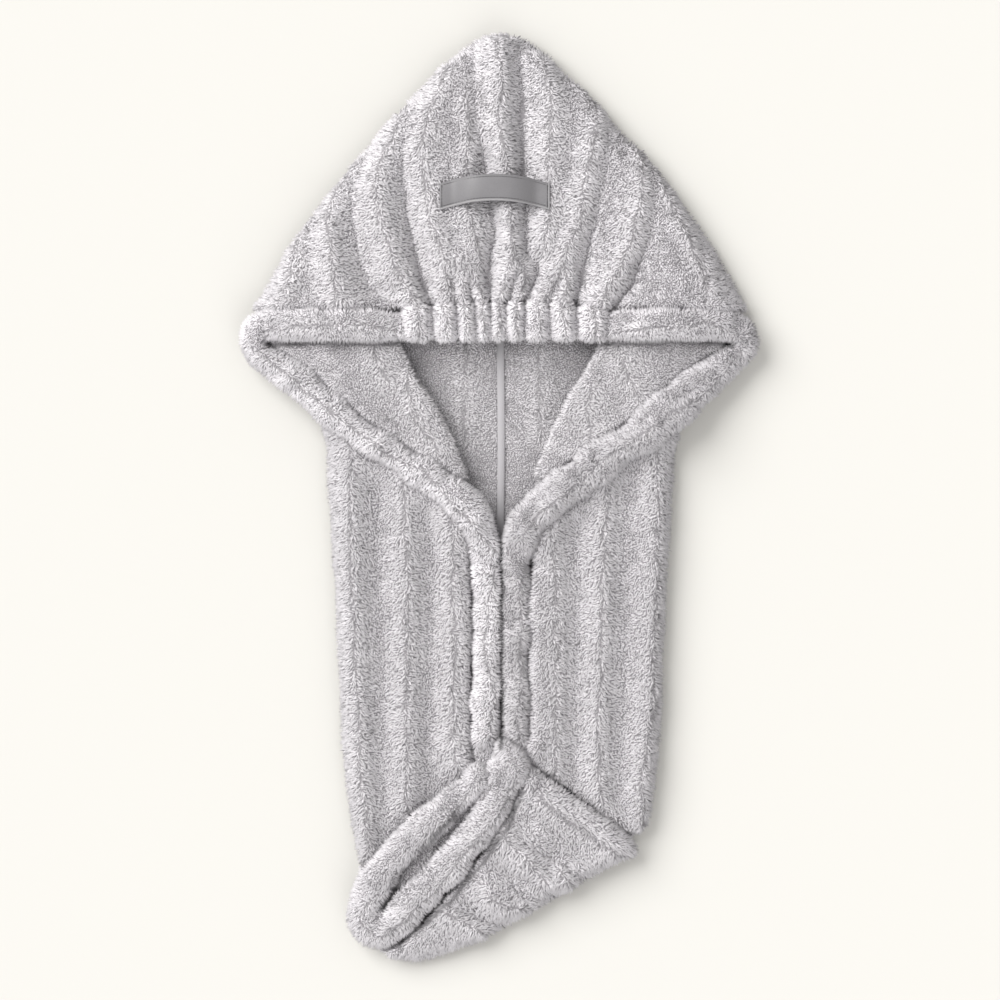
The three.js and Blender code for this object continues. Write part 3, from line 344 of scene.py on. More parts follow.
def from_lines(points, lines):
    """For each point: how far off the nearest line is, in millimetres, the way away from it and its depth."""
    x, y = points[:, 0] / MM, points[:, 1] / MM
    nearest = np.full(len(points), 1e3)
    way = np.zeros((len(points), 3))
    depth = np.zeros(len(points))
    for line in lines:
        knots = [(across(knot[0]), along(knot[1]), knot[2] if len(knot) > 2 else 1) for knot in line]
        for (x0, y0, d0), (x1, y1, d1) in zip(knots, knots[1:]):
            run, rise = x1 - x0, y1 - y0
            t = np.clip(((x - x0) * run + (y - y0) * rise) / (run * run + rise * rise), 0, 1)
            dx, dy = x - x0 - t * run, y - y0 - t * rise
            far = np.hypot(dx, dy)
            closer = far < nearest
            nearest = np.where(closer, far, nearest)
            depth = np.where(closer, d0 + t * (d1 - d0), depth)
            way[closer, 0] = (dx / np.maximum(far, 1e-6))[closer]
            way[closer, 1] = (dy / np.maximum(far, 1e-6))[closer]
    return nearest, way, depth


def meander(points, amount, size=11):
    """The same points, each moved a little and smoothly, so that a straight line wanders."""
    moved = points.copy()
    for k in range(2):
        wander = cloud(points, size * MM, 91 + k) + 0.6 * cloud(points, 0.4 * size * MM, 93 + k)
        moved[:, k] += amount * MM * wander
    return moved


def crease_at(points, creases, reach):
    """How deep in a crease each point lies: all of its depth on the line, and nothing well past its reach."""
    if not creases:
        return np.zeros(len(points))
    far, _, depth = from_lines(points, creases)
    return depth * np.exp(-((far / reach) ** 2))


# Cloth.

# How far a rib's fullness reaches from its crest, in millimetres.
RIB_SPREAD = 7


def coordinates(mesh, what="co"):
    """The places of a mesh's corners, or the ways that they look."""
    flat = np.zeros(len(mesh.vertices) * 3, np.float32)
    mesh.vertices.foreach_get(what, flat)
    return flat.reshape(-1, 3).astype(float)


def cloth_from(name, node, slot, grain, ease, sink, lumps=(0.5, 11), creases=(), crease_depth=2.2,
               reach=2.6, crowded=(), ribs=(), full=1.5):
    """A merged, evenly meshed and softened copy of one node of the frame, which it stands for.

    It is sunk under the node's face by the height that its pile takes up again, and swells where it crowds
    against a hem."""
    take(frame["nodes"][node])
    bpy.ops.object.duplicate()
    cloth = bpy.context.object
    cloth.name = cloth.data.name = name
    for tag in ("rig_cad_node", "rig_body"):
        del cloth[tag]
    bpy.ops.object.parent_clear(type="CLEAR_KEEP_TRANSFORM")
    cloth.data.materials.clear()
    bpy.ops.object.mode_set(mode="EDIT")
    bpy.ops.mesh.select_all(action="SELECT")
    bpy.ops.mesh.remove_doubles(threshold=0.00001)
    bpy.ops.mesh.normals_make_consistent(inside=False)
    bpy.ops.object.mode_set(mode="OBJECT")
    even = cloth.modifiers.new("even_mesh", "REMESH")
    even.mode = "VOXEL"
    even.voxel_size = grain * MM
    bpy.ops.object.modifier_apply(modifier=even.name)
    if ease:
        soften = cloth.modifiers.new("soften", "SMOOTH")
        soften.factor = 0.5
        soften.iterations = ease
        bpy.ops.object.modifier_apply(modifier=soften.name)
    points, looks = coordinates(cloth.data), coordinates(cloth.data, "normal")
    up = np.clip((looks[:, 2] + 0.5) / 0.6, 0, 1)
    swell = lumps[0] * cloud(points, lumps[1] * MM, 61) - sink
    swell -= crease_depth * crease_at(points, creases, reach)
    if ribs:
        swell += full * (np.exp(-((from_lines(points, ribs)[0] / RIB_SPREAD) ** 2)) - 0.4)
        swell -= full * crease_at(points, creases, RIB_SPREAD)
    for lines, most, out_to, fade in crowded:
        swell += most * np.clip((out_to - from_lines(points, lines)[0]) / fade, 0, 1)
    points += looks * (swell * up)[:, None] * MM
    points[:, 2] = np.maximum(points[:, 2], 0.0001)
    cloth.data.vertices.foreach_set("co", points.astype(np.float32).ravel())
    cloth.data.update()
    bpy.ops.object.shade_smooth()
    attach(cloth, "root")
    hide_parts(node)
    dress(cloth, plush_finishes[slot])
    return cloth


def sow(cloth, gap, seed, keep=None):
    """Roots spread evenly over a cloth's faces, and which way each looks."""
    mesh = cloth.data
    mesh.calc_loop_triangles()
    points, normals = coordinates(mesh), coordinates(mesh, "normal")
    corners = np.zeros(len(mesh.loop_triangles) * 3, np.int32)
    mesh.loop_triangles.foreach_get("vertices", corners)
    corners = corners.reshape(-1, 3)
    a, b, c = (points[corners[:, k]] for k in range(3))
    cross = np.cross(b - a, c - a)
    area = np.linalg.norm(cross, axis=1)
    shown = cross[:, 2] / np.maximum(area, 1e-15) > -0.3
    if keep is not None:
        shown &= keep((a + b + c) / 3, cross / np.maximum(area, 1e-15)[:, None])
    area = np.where(shown, area, 0)
    rng = np.random.default_rng(seed)
    wanted = int(5 * area.sum() / 2 / (gap * MM) ** 2)
    face = rng.choice(len(area), wanted, p=area / area.sum())
    u, v = rng.random((2, wanted, 1))
    u, v = np.where(u + v > 1, 1 - u, u), np.where(u + v > 1, 1 - v, v)
    na, nb, nc = (normals[corners[face, k]] for k in range(3))
    roots = a[face] + u * (b[face] - a[face]) + v * (c[face] - a[face])
    looks = unit(na + u * (nb - na) + v * (nc - na))
    turn = np.array([[0.8, 0.6, 0], [-0.6, 0.8, 0], [0, 0, 0.6]])
    cells = np.floor(roots @ turn / (gap * MM)).astype(np.int64)
    _, first = np.unique(cells, axis=0, return_index=True)
    return roots[np.sort(first)], looks[np.sort(first)]


# A lock's half width and half length as shares of its size, and how much it may curve.
LOCK_HALF, LOCK_REACH, LOCK_CURVE = 0.6, 1.2, 2.2

# In millimetres: how far a parting wanders, how wide the crack along it is, and how wide the painted shade is
# in a crease, in a seam and between the centre hems.
WANDER = 1.8
CRACK_WIDTH = 0.75
CREASE_SHADE = 1.5
SEAM_SHADE = 1.3
CENTRE_SHADE = 1.6
# How far the shaded side of a rib reaches from its parting, in millimetres.
SHADED_SIDE = 22


def find_locks(points, run, stray, size, seed):
    """The lock of pile that each point belongs to: a loose scatter of curved locks, each turned its own way.

    It gives the lock's middle, how far the point lies beside it as a share of the size, the lock's two ways
    and a number of its own."""
    places = points / size
    low = np.floor(places).astype(np.int64)
    best = np.full(len(points), 1e9)
    beside, number = np.zeros(len(points)), np.zeros(len(points))
    way, across_way, middle = (np.zeros_like(points) for _ in range(3))
    for corner in np.ndindex(3, 3, 3):
        cell = low + np.array(corner) - 1
        own = [dice(cell, seed + k) for k in range(6)]
        off = places - cell - np.stack(own[:3], axis=1)
        turn = (own[3] - 0.5) * stray
        c, s = np.cos(turn), np.sin(turn)
        lock_way = np.stack([run[:, 0] * c - run[:, 1] * s, run[:, 0] * s + run[:, 1] * c, 0 * c], axis=1)
        lock_side = np.stack([-lock_way[:, 1], lock_way[:, 0], 0 * c], axis=1)
        v = (off * lock_way).sum(axis=1)
        u = (off * lock_side).sum(axis=1) + (own[4] - 0.5) * LOCK_CURVE * v * v
        far = (u / LOCK_HALF) ** 2 + (v / LOCK_REACH) ** 2 + off[:, 2] ** 2
        closer = far < best
        best = np.where(closer, far, best)
        beside, number = np.where(closer, u, beside), np.where(closer, own[5], number)
        way[closer], across_way[closer] = lock_way[closer], lock_side[closer]
        middle[closer] = ((cell + np.stack(own[:3], axis=1)) * size)[closer]
    return middle, beside, way, across_way, number


def run_of_pile(roots, partings, reach):
    """Which way the locks run at each root, away from the parting and down, and how far they stray."""
    way = np.zeros((len(roots), 3))
    far = np.full(len(roots), 1e3)
    if partings:
        far, way, _ = from_lines(meander(roots, WANDER), partings)
    return unit(0.8 * way - np.array([0, 0.7, 0])), 3.6 - 1.1 * np.exp(-((far / reach) ** 1.5))


def comb_pile(roots, middles, number, partings, creases, down, reach):
    """How the pile lies at each root: which way it leans and how flat, its length, the painted shade of its
    colour and how far it has opened into separate locks. A lock leans as one, so that the parting is ragged."""
    far = np.full(len(roots), 1e3)
    way = np.zeros((len(roots), 3))
    crack = np.zeros(len(roots))
    if partings:
        strayed = meander(middles, WANDER)
        strayed[:, 0] += (number - 0.5) * 2.4 * MM
        far, way, _ = from_lines(strayed, partings)
        crack_far = from_lines(meander(meander(roots, WANDER), 0.7, 2.2), partings)[0]
        broken = np.clip(0.75 + 1.3 * cloud(roots, 6 * MM, 9), 0, 1)
        crack = np.exp(-((crack_far / CRACK_WIDTH) ** 2)) * broken
    near = np.exp(-((far / reach) ** 1.5))
    drift = np.stack([cloud(roots, 15 * MM, 3), cloud(roots, 15 * MM, 4), np.zeros(len(roots))], axis=1)
    lean = way * (0.2 + 0.3 * near)[:, None] * (far < 200)[:, None] + 0.5 * drift
    lean[:, 1] -= down
    fold = crease_at(roots, creases, CREASE_SHADE)
    # On the side of a rib away from the light the locks open wider, and the painted shade of their splits
    # darkens it.
    shaded = np.clip(way[:, 0] * (far < SHADED_SIDE), 0, 1)
    open_locks = np.clip(0.04 + 0.9 * near + 0.25 * shaded + 0.3 * cloud(roots, 9 * MM, 8), 0, 1)
    flat = np.clip(0.18 + 0.25 * near - 0.1 * fold, 0, 0.8)
    length = (1 - 0.3 * fold) * (0.85 + 0.2 * open_locks) * (1 - 0.25 * crack)
    # Painted shade: the colour is darkened in creases, along the cracks at partings, along seams where pieces
    # press together and between the centre hems.
    shade = (1 - 0.2 * fold) * (1 - 0.35 * crack)
    shade *= 1 - 0.6 * crease_at(roots, DARK_SEAMS, SEAM_SHADE)
    shade *= 1 - 0.85 * crease_at(roots, CENTRE_SEAM, CENTRE_SHADE)
    return unit(lean), flat, length, shade, open_locks


# The size of one lock, how deep its spikes are rooted under the cloth and the brightest that one may be.
LOCK_SIZE = 2.3 * MM
ROOTED = 0.4 * MM
BRIGHTEST = 1.14


def grow_pile(name, cloth, slot, tufts, seed, partings=(), creases=(), down=0.5, reach=8, tone_and_light=1.0,
              keep=None):
    """Pile over a cloth, as one mesh of small closed spikes that gather in curved locks."""
    gap, pile, thick = tufts
    roots, looks = sow(cloth, gap, seed, keep)
    rng = np.random.default_rng(seed + 1)
    count = len(roots)
    run, stray = run_of_pile(roots, partings, reach)
    middles, beside, lock_way, lock_side, number = find_locks(roots, run, stray, LOCK_SIZE, seed + 31)
    lean, flat, length, shade, open_locks = comb_pile(roots, middles, number, partings, creases, down, reach)
    swirl = np.stack([cloud(roots, 4 * MM, seed + 11 + k) for k in range(3)], axis=1)
    inward = -lock_side * (beside * LOCK_SIZE)[:, None]
    inward -= looks * (inward * looks).sum(axis=1, keepdims=True)
    apart = open_locks[:, None]
    way = looks * (1 - flat[:, None]) + lean * flat[:, None] + 0.2 * swirl + (0.15 + 0.35 * apart) * lock_way
    way += 0.1 * rng.normal(size=(count, 3))
    facing = (way * looks).sum(axis=1)
    way += looks * np.maximum(0.25 - facing, 0)[:, None]
    way = unit(way)
    edge = np.clip(np.abs(beside) / LOCK_HALF, 0, 1)
    # Painted shade: split is how far this spike's lock has opened from its neighbours; it shortens the spike
    # and darkens its colour.
    split = edge**4 * (0.22 + 0.78 * open_locks)
    height = (pile * MM * length * (1 - 0.25 * split) * (0.8 + 0.4 * rng.random(count)))[:, None]
    tips = roots + way * height + (0.55 + 0.35 * apart) * inward
    dome = lock_side * beside[:, None] * (0.9 + 1.2 * apart)
    side = unit(np.cross(way, rng.normal(size=(count, 3))))
    other = np.cross(way, side)
    width = (thick * MM * (0.8 + 0.4 * rng.random(count)))[:, None]
    points = np.zeros((count, 4, 3))
    faced = np.zeros((count, 4, 3))
    for k in range(3):
        angle = 2 * math.pi * k / 3
        ring = side * math.cos(angle) + other * math.sin(angle)
        points[:, k] = roots - looks * ROOTED + ring * width
        faced[:, k] = unit(looks + dome + 0.25 * ring)
    points[:, 3] = tips
    faced[:, 3] = unit(looks + 0.8 * dome + 0.3 * way)
    points[:, :, 2] = np.maximum(points[:, :, 2], 0.0002)
    base = np.arange(count)[:, None] * 4
    spike = ((0, 1, 3), (1, 2, 3), (2, 0, 3), (0, 2, 1))
    faces = np.concatenate([base + np.array(f) for f in spike], axis=1).reshape(-1, 3)
    mesh = bpy.data.meshes.new(name)
    mesh.vertices.add(count * 4)
    mesh.vertices.foreach_set("co", points.ravel())
    mesh.loops.add(len(faces) * 3)
    mesh.loops.foreach_set("vertex_index", faces.ravel())
    mesh.polygons.add(len(faces))
    mesh.polygons.foreach_set("loop_start", np.arange(len(faces)) * 3)
    mesh.polygons.foreach_set("loop_total", np.full(len(faces), 3))
    mesh.update(calc_edges=True)
    # Painted shade: the colour runs from the root shade at a spike's foot to its tip; at a lock's edges the
    # foot is darker still and the tip lower.
    foot = (1 - edge) * 0.3
    height_shades = np.stack([foot, foot, foot, 1 - 0.3 * edge * open_locks], axis=1)
    # Painted light and shade: each spike's colour is the piece's tone and painted light, times the painted
    # shade from combing and of its splits, times a random tone of its own.
    tones_and_shade = (tone_and_light(roots) if callable(tone_and_light) else tone_and_light) * shade * (1 - 0.75 * split)
    tones_and_shade = tones_and_shade * (0.92 + 0.08 * rng.random(count)) * (0.88 + 0.12 * number)
    tones_and_shade = np.minimum(tones_and_shade, BRIGHTEST)
    mesh.attributes.new("pile_height_shade", "FLOAT", "POINT").data.foreach_set("value", height_shades.ravel())
    mesh.attributes.new("pile_tone_and_shade", "FLOAT", "POINT").data.foreach_set("value", np.repeat(tones_and_shade, 4))
    grown = bpy.data.objects.new(name, mesh)
    bpy.context.scene.collection.objects.link(grown)
    take(grown)
    bpy.ops.object.shade_smooth()
    mesh.normals_split_custom_set_from_vertices(faced.reshape(-1, 3))
    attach(grown, "root")
    dress(grown, plush_finishes[slot])
    return grown


# Finishes.


def wire(tree, *links):
    for a, b in links:
        tree.links.new(a, b)


def new_effect(name, inputs, outputs):
    """A shader node group with these named sockets, and its two ends."""
    effect = bpy.data.node_groups.new(name, "ShaderNodeTree")
    for label, kind, level in inputs:
        effect.interface.new_socket(label, in_out="INPUT", socket_type=kind).default_value = level
    for label, kind in outputs:
        effect.interface.new_socket(label, in_out="OUTPUT", socket_type=kind)
    return effect, effect.nodes.new("NodeGroupInput"), effect.nodes.new("NodeGroupOutput")


def node(tree, kind, **settings):
    """A new shader node with its own settings, or its inputs' values, given by name."""
    made = tree.nodes.new(kind)
    for label, value in settings.items():
        if hasattr(made, label):
            setattr(made, label, value)
        else:
            made.inputs[label.replace("_", " ")].default_value = value
    return made


def pile_colour_and_shade():
    """Darker at the roots of the pile, as painted shade, lighter at its tips, and faintly uneven all over."""
    effect, start, end = new_effect(
        "pile_colour_and_shade",
        [
            ("Painted Root Shade", "NodeSocketColor", (0.4, 0.4, 0.4, 1)),
            ("Tip Tint", "NodeSocketColor", (0.9, 0.9, 0.9, 1)),
            ("Unevenness", "NodeSocketFloat", 0.07),
        ],
        [("Color", "NodeSocketColor")],
    )
    place = node(effect, "ShaderNodeTexCoord")
    height = node(effect, "ShaderNodeAttribute", attribute_name="pile_height_shade")
    tone_and_light = node(effect, "ShaderNodeAttribute", attribute_name="pile_tone_and_shade")
    patches = node(effect, "ShaderNodeTexNoise", Scale=60, Detail=3)
    lift = node(effect, "ShaderNodeMapRange", From_Max=0.5)
    root_shade_mix = node(effect, "ShaderNodeMix", data_type="RGBA")
    lower = node(effect, "ShaderNodeMath", operation="MULTIPLY")
    keep = node(effect, "ShaderNodeMath", operation="SUBTRACT")
    keep.inputs[0].default_value = 1
    shaded = node(effect, "ShaderNodeMath", operation="MULTIPLY")
    toned_and_shaded = node(effect, "ShaderNodeMix", data_type="RGBA", blend_type="MULTIPLY", Factor=1)
    wire(
        effect,
        (place.outputs["Object"], patches.inputs["Vector"]),
        (patches.outputs["Fac"], lower.inputs[0]),
        (start.outputs["Unevenness"], lower.inputs[1]),
        (lower.outputs["Value"], keep.inputs[1]),
        (keep.outputs["Value"], shaded.inputs[0]),
        (tone_and_light.outputs["Fac"], shaded.inputs[1]),
        (height.outputs["Fac"], lift.inputs["Value"]),
        (lift.outputs["Result"], root_shade_mix.inputs["Factor"]),
        (start.outputs["Painted Root Shade"], root_shade_mix.inputs["A"]),
        (start.outputs["Tip Tint"], root_shade_mix.inputs["B"]),
        (root_shade_mix.outputs["Result"], toned_and_shaded.inputs["A"]),
        (shaded.outputs["Value"], toned_and_shaded.inputs["B"]),
        (toned_and_shaded.outputs["Result"], end.inputs["Color"]),
    )
    return effect


def fine_grain():
    """Small pits and ridges: a height for bumps, and a mask that is 1 in the pits."""
    effect, start, end = new_effect(
        "fine_grain",
        [("Scale", "NodeSocketFloat", 1500), ("Pits", "NodeSocketFloat", 0.5)],
        [("Height", "NodeSocketFloat"), ("Pit Mask", "NodeSocketFloat")],
    )
    place = node(effect, "ShaderNodeTexCoord")
    cells = node(effect, "ShaderNodeTexVoronoi")
    fibres = node(effect, "ShaderNodeTexNoise", Detail=4)
    pits = node(effect, "ShaderNodeMapRange", From_Max=0.6)
    mixed = node(effect, "ShaderNodeMix", data_type="FLOAT")
    pit_mask = node(effect, "ShaderNodeMapRange", From_Min=0.35, From_Max=0.0)
    wire(
        effect,
        (place.outputs["Object"], cells.inputs["Vector"]),
        (place.outputs["Object"], fibres.inputs["Vector"]),
        (start.outputs["Scale"], cells.inputs["Scale"]),
        (start.outputs["Scale"], fibres.inputs["Scale"]),
        (cells.outputs["Distance"], pits.inputs["Value"]),
        (start.outputs["Pits"], mixed.inputs["Factor"]),
        (fibres.outputs["Fac"], mixed.inputs["A"]),
        (pits.outputs["Result"], mixed.inputs["B"]),
        (mixed.outputs["Result"], end.inputs["Height"]),
        (cells.outputs["Distance"], pit_mask.inputs["Value"]),
        (pit_mask.outputs["Result"], end.inputs["Pit Mask"]),
    )
    return effect


def new_finish(name, roughness, shine, effects):
    """A material with its shader's own numbers set, and a placed copy of each shared effect."""
    finish = bpy.data.materials.new(name)
    finish.use_nodes = True
    tree = finish.node_tree
    shader = tree.nodes["Principled BSDF"]
    shader.inputs["Roughness"].default_value = roughness
    shader.inputs["Specular IOR Level"].default_value = shine
    placed = []
    for effect, values in effects:
        group = tree.nodes.new("ShaderNodeGroup")
        group.node_tree = effect
        for label, value in values.items():
            group.inputs[label].default_value = value
        placed.append(group)
    return finish, tree, shader, placed


def raise_bumps(tree, shader, height, strength, depth):
    bump = node(tree, "ShaderNodeBump", Strength=strength, Distance=depth)
    wire(tree, (height, bump.inputs["Height"]), (bump.outputs["Normal"], shader.inputs["Normal"]))


def plush(name, root_shade_tint, tip_tint, pile_effect, grain_effect):
    finish, tree, shader, (colour, grain) = new_finish(
        name,
        0.95,
        0.12,
        [
            (pile_effect, {"Painted Root Shade": root_shade_tint + (1,), "Tip Tint": tip_tint + (1,), "Unevenness": 0.12}),
            (grain_effect, {"Scale": 1600, "Pits": 0.2}),
        ],
    )
    wire(tree, (colour.outputs["Color"], shader.inputs["Base Color"]))
    raise_bumps(tree, shader, grain.outputs["Height"], 0.3, 0.0003)
    return finish


def leather(name, tint, grain_effect):
    """Satin leather: fine pits in its grain, a little darker there, and slow clouds in its sheen."""
    pits = (grain_effect, {"Scale": 1300, "Pits": 0.7})
    finish, tree, shader, (grain,) = new_finish(name, 0.5, 0.5, [pits])
    place = node(tree, "ShaderNodeTexCoord")
    clouds = node(tree, "ShaderNodeTexNoise", Scale=90, Detail=2)
    hue = node(tree, "ShaderNodeMix", data_type="RGBA")
    hue.inputs["A"].default_value = tuple(c * 0.9 for c in tint) + (1,)
    hue.inputs["B"].default_value = tuple(c * 1.1 for c in tint) + (1,)
    pitted = node(tree, "ShaderNodeMix", data_type="RGBA")
    pitted.inputs["B"].default_value = tuple(c * 0.7 for c in tint) + (1,)
    dull = node(tree, "ShaderNodeMapRange", To_Min=0.4, To_Max=0.56)
    wire(
        tree,
        (place.outputs["Object"], clouds.inputs["Vector"]),
        (clouds.outputs["Fac"], hue.inputs["Factor"]),
        (clouds.outputs["Fac"], dull.inputs["Value"]),
        (hue.outputs["Result"], pitted.inputs["A"]),
        (grain.outputs["Pit Mask"], pitted.inputs["Factor"]),
        (pitted.outputs["Result"], shader.inputs["Base Color"]),
        (dull.outputs["Result"], shader.inputs["Roughness"]),
    )
    raise_bumps(tree, shader, grain.outputs["Height"], 0.35, 0.00015)
    return finish


def woven(name, tint, pitch, grain_effect):
    """Close woven yarn: ribs across the piece at that pitch in millimetres, with fibres over them."""
    fibres = (grain_effect, {"Scale": 2500, "Pits": 0.3})
    finish, tree, shader, (grain,) = new_finish(name, 0.85, 0.2, [fibres])
    place = node(tree, "ShaderNodeTexCoord")
    ribs = node(tree, "ShaderNodeTexWave", Scale=math.pi * 2 / (20 * pitch * MM), Distortion=1.5)
    ribs.bands_direction = "DIAGONAL"
    hue = node(tree, "ShaderNodeMix", data_type="RGBA")
    hue.inputs["A"].default_value = tuple(c * 0.8 for c in tint) + (1,)
    hue.inputs["B"].default_value = tint + (1,)
    relief = node(tree, "ShaderNodeMath", operation="ADD")
    wire(
        tree,
        (place.outputs["Object"], ribs.inputs["Vector"]),
        (ribs.outputs["Fac"], hue.inputs["Factor"]),
        (hue.outputs["Result"], shader.inputs["Base Color"]),
        (ribs.outputs["Fac"], relief.inputs[0]),
        (grain.outputs["Height"], relief.inputs[1]),
    )
    raise_bumps(tree, shader, relief.outputs["Value"], 0.4, 0.0002)
    return finish


def dress(piece, finish):
    """The piece in that finish; one with no pile of its own gets the tone and height of pile's foot, its
    painted shade.
    """
    piece.data.materials.clear()
    piece.data.materials.append(finish)
    if "pile_tone_and_shade" not in piece.data.attributes:
        count = len(piece.data.vertices)
        for name, level in (("pile_tone_and_shade", 0.8), ("pile_height_shade", 0.0)):
            piece.data.attributes.new(name, "FLOAT", "POINT").data.foreach_set("value", np.full(count, level))


# Strap and tape, drawn out along given paths.


def corners_where(piece, test):
    """In edit mode: selects the corners whose place, in millimetres, passes the test."""
    bpy.ops.mesh.select_all(action="DESELECT")
    bpy.ops.object.mode_set(mode="OBJECT")
    places = coordinates(piece.data) / MM
    chosen = test(places[:, 0], places[:, 1], places[:, 2])
    piece.data.vertices.foreach_set("select", chosen)
    bpy.ops.object.mode_set(mode="EDIT")


# A row of stitches sinks this far in, in millimetres, over this share of a band's half width.
GROOVE_DEPTH, GROOVE_WIDTH = 0.4, 0.06


def band(name, path, half, lanes, thick, sunk, swollen):
    """A flat band drawn out along a path, one strip of faces at a time, then thickened and rounded.

    half is its half width and lanes its strips across. sunk says at which shares of its half width a row of
    stitches presses it in, and swollen how far its middle stands up."""
    leave_all()
    (x0, y0, z0), (x1, y1, z1) = path[0], path[1]
    upright = abs(y1 - y0) > abs(x1 - x0)
    bpy.ops.mesh.primitive_grid_add(
        x_subdivisions=lanes if upright else 1,
        y_subdivisions=1 if upright else lanes,
        size=2,
        location=((x0 + x1) / 2 * MM, (y0 + y1) / 2 * MM, (z0 + z1) / 2 * MM),
    )
    piece = bpy.context.object
    piece.name = piece.data.name = name
    stretch = (half, abs(y1 - y0) / 2, 1) if upright else (abs(x1 - x0) / 2, half, 1)
    piece.scale = (stretch[0] * MM, stretch[1] * MM, 1)
    bpy.ops.object.transform_apply(location=True, rotation=True, scale=True)
    bpy.ops.object.mode_set(mode="EDIT")
    axis, ahead = (1, y1 - y0) if upright else (0, x1 - x0)
    sign = 1 if ahead > 0 else -1
    corners_where(piece, lambda *p: sign * p[axis] > sign * (path[1][axis] - ahead / 2))
    bpy.ops.transform.translate(value=(0, 0, (z1 - z0) / 2 * MM))
    if not upright:
        bpy.ops.transform.translate(value=(0, (y1 - y0) / 2 * MM, 0))
    bpy.ops.mesh.select_all(action="INVERT")
    bpy.ops.transform.translate(value=(0, 0 if upright else (y0 - y1) / 2 * MM, (z0 - z1) / 2 * MM))
    bpy.ops.mesh.select_all(action="INVERT")
    for before, after in zip(path[1:], path[2:]):
        step = [(b - a) * MM for a, b in zip(before, after)]
        bpy.ops.mesh.extrude_region_move(TRANSFORM_OT_translate={"value": step})
    bpy.ops.object.mode_set(mode="OBJECT")
    places = coordinates(piece.data)
    middle = np.interp(places[:, axis] / MM, *zip(*sorted((k[axis], k[1 - axis]) for k in path)))
    beside = (places[:, 1 - axis] / MM - middle) / half
    groove = sum((np.exp(-(((np.abs(beside) - lane) / GROOVE_WIDTH) ** 2)) for lane in sunk), 0 * beside)
    places[:, 2] += (swollen * (1 - beside**2) - GROOVE_DEPTH * groove) * MM
    piece.data.vertices.foreach_set("co", places.astype(np.float32).ravel())
    body = piece.modifiers.new("body", "SOLIDIFY")
    body.thickness, body.offset = thick * MM, 0
    bpy.ops.object.modifier_apply(modifier=body.name)
    rounding = piece.modifiers.new("rounding", "BEVEL")
    rounding.width, rounding.segments, rounding.limit_method = thick * 0.3 * MM, 3, "ANGLE"
    bpy.ops.object.modifier_apply(modifier=rounding.name)
    bpy.ops.object.mode_set(mode="EDIT")
    bpy.ops.mesh.select_all(action="SELECT")
    bpy.ops.mesh.normals_make_consistent(inside=False)
    bpy.ops.object.mode_set(mode="OBJECT")
    bpy.ops.object.shade_smooth_by_angle(angle=math.radians(40))
    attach(piece, "root")
    return piece


def tube(name, path, radius):
    """A round cord drawn out along a path."""
    leave_all()
    ahead = [b - a for a, b in zip(path[0], path[1])]
    turn = (0, math.pi / 2, math.atan2(ahead[1], ahead[0]))
    start = [c * MM for c in path[0]]
    bpy.ops.mesh.primitive_circle_add(
        vertices=10, radius=radius * MM, fill_type="NGON", location=start, rotation=turn
    )
    piece = bpy.context.object
    piece.name = piece.data.name = name
    bpy.ops.object.transform_apply(location=True, rotation=True, scale=True)
    bpy.ops.object.mode_set(mode="EDIT")
    bpy.ops.mesh.select_all(action="SELECT")
    for before, after in zip(path, path[1:]):
        step = [(b - a) * MM for a, b in zip(before, after)]
        bpy.ops.mesh.extrude_region_move(TRANSFORM_OT_translate={"value": step})
    bpy.ops.mesh.select_all(action="SELECT")
    bpy.ops.mesh.normals_make_consistent(inside=False)
    bpy.ops.object.mode_set(mode="OBJECT")
    bpy.ops.object.shade_smooth_by_angle(angle=math.radians(50))
    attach(piece, "root")
    return piece


# One stitch's length and the thread's radius, in millimetres.
STITCH_LENGTH, STITCH_RADIUS = 1.5, 0.28


def stitch_rows(name, rows):
    """Stitches laid end to end along each row, all copies of one short bar of thread with narrowed ends."""
    leave_all()
    bpy.ops.mesh.primitive_cylinder_add(
        vertices=6, radius=STITCH_RADIUS * MM, depth=STITCH_LENGTH * MM, rotation=(0, math.pi / 2, 0)
    )
    stitch = bpy.context.object
    bpy.ops.object.transform_apply(location=True, rotation=True, scale=True)
    bpy.ops.object.mode_set(mode="EDIT")
    for side in (-1, 1):
        corners_where(stitch, lambda x, y, z: side * x > 0.1)
        bpy.ops.mesh.extrude_region_move(TRANSFORM_OT_translate={"value": (side * 0.2 * MM, 0, -0.12 * MM)})
        bpy.ops.transform.resize(value=(1, 0.45, 0.45))
    bpy.ops.object.mode_set(mode="OBJECT")
    bpy.ops.object.shade_smooth_by_angle(angle=math.radians(50))
    copies = []
    for row in rows:
        for (x0, y0, z0), (x1, y1, z1) in zip(row, row[1:]):
            take(stitch)
            bpy.ops.object.duplicate()
            copy = bpy.context.object
            copy.location = ((x0 + x1) / 2 * MM, (y0 + y1) / 2 * MM, (z0 + z1) / 2 * MM)
            flat = math.hypot(x1 - x0, y1 - y0)
            copy.rotation_euler = (0, -math.atan2(z1 - z0, flat), math.atan2(y1 - y0, x1 - x0))
            copies.append(copy)
    take(stitch)
    bpy.ops.object.delete()
    for copy in copies:
        copy.select_set(True)
    bpy.context.view_layer.objects.active = copies[0]
    bpy.ops.object.join()
    bpy.ops.object.transform_apply(location=True, rotation=True, scale=True)
    thread = bpy.context.object
    thread.name = thread.data.name = name
    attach(thread, "root")
    return thread


# The strap in millimetres: where its left end lies across and up the towel, its length, and its bow towards
# the apex. Then how high its sewn ends lie, how far its middle rises over them, its half width and thickness.
STRAP_LEFT, STRAP_UP, STRAP_LONG, STRAP_BOW = -37.2, 189.9, 69.6, 5.6
STRAP_LOW, STRAP_RISE, STRAP_HALF, STRAP_THICK = 27.6, 7.8, 8.3, 2.0
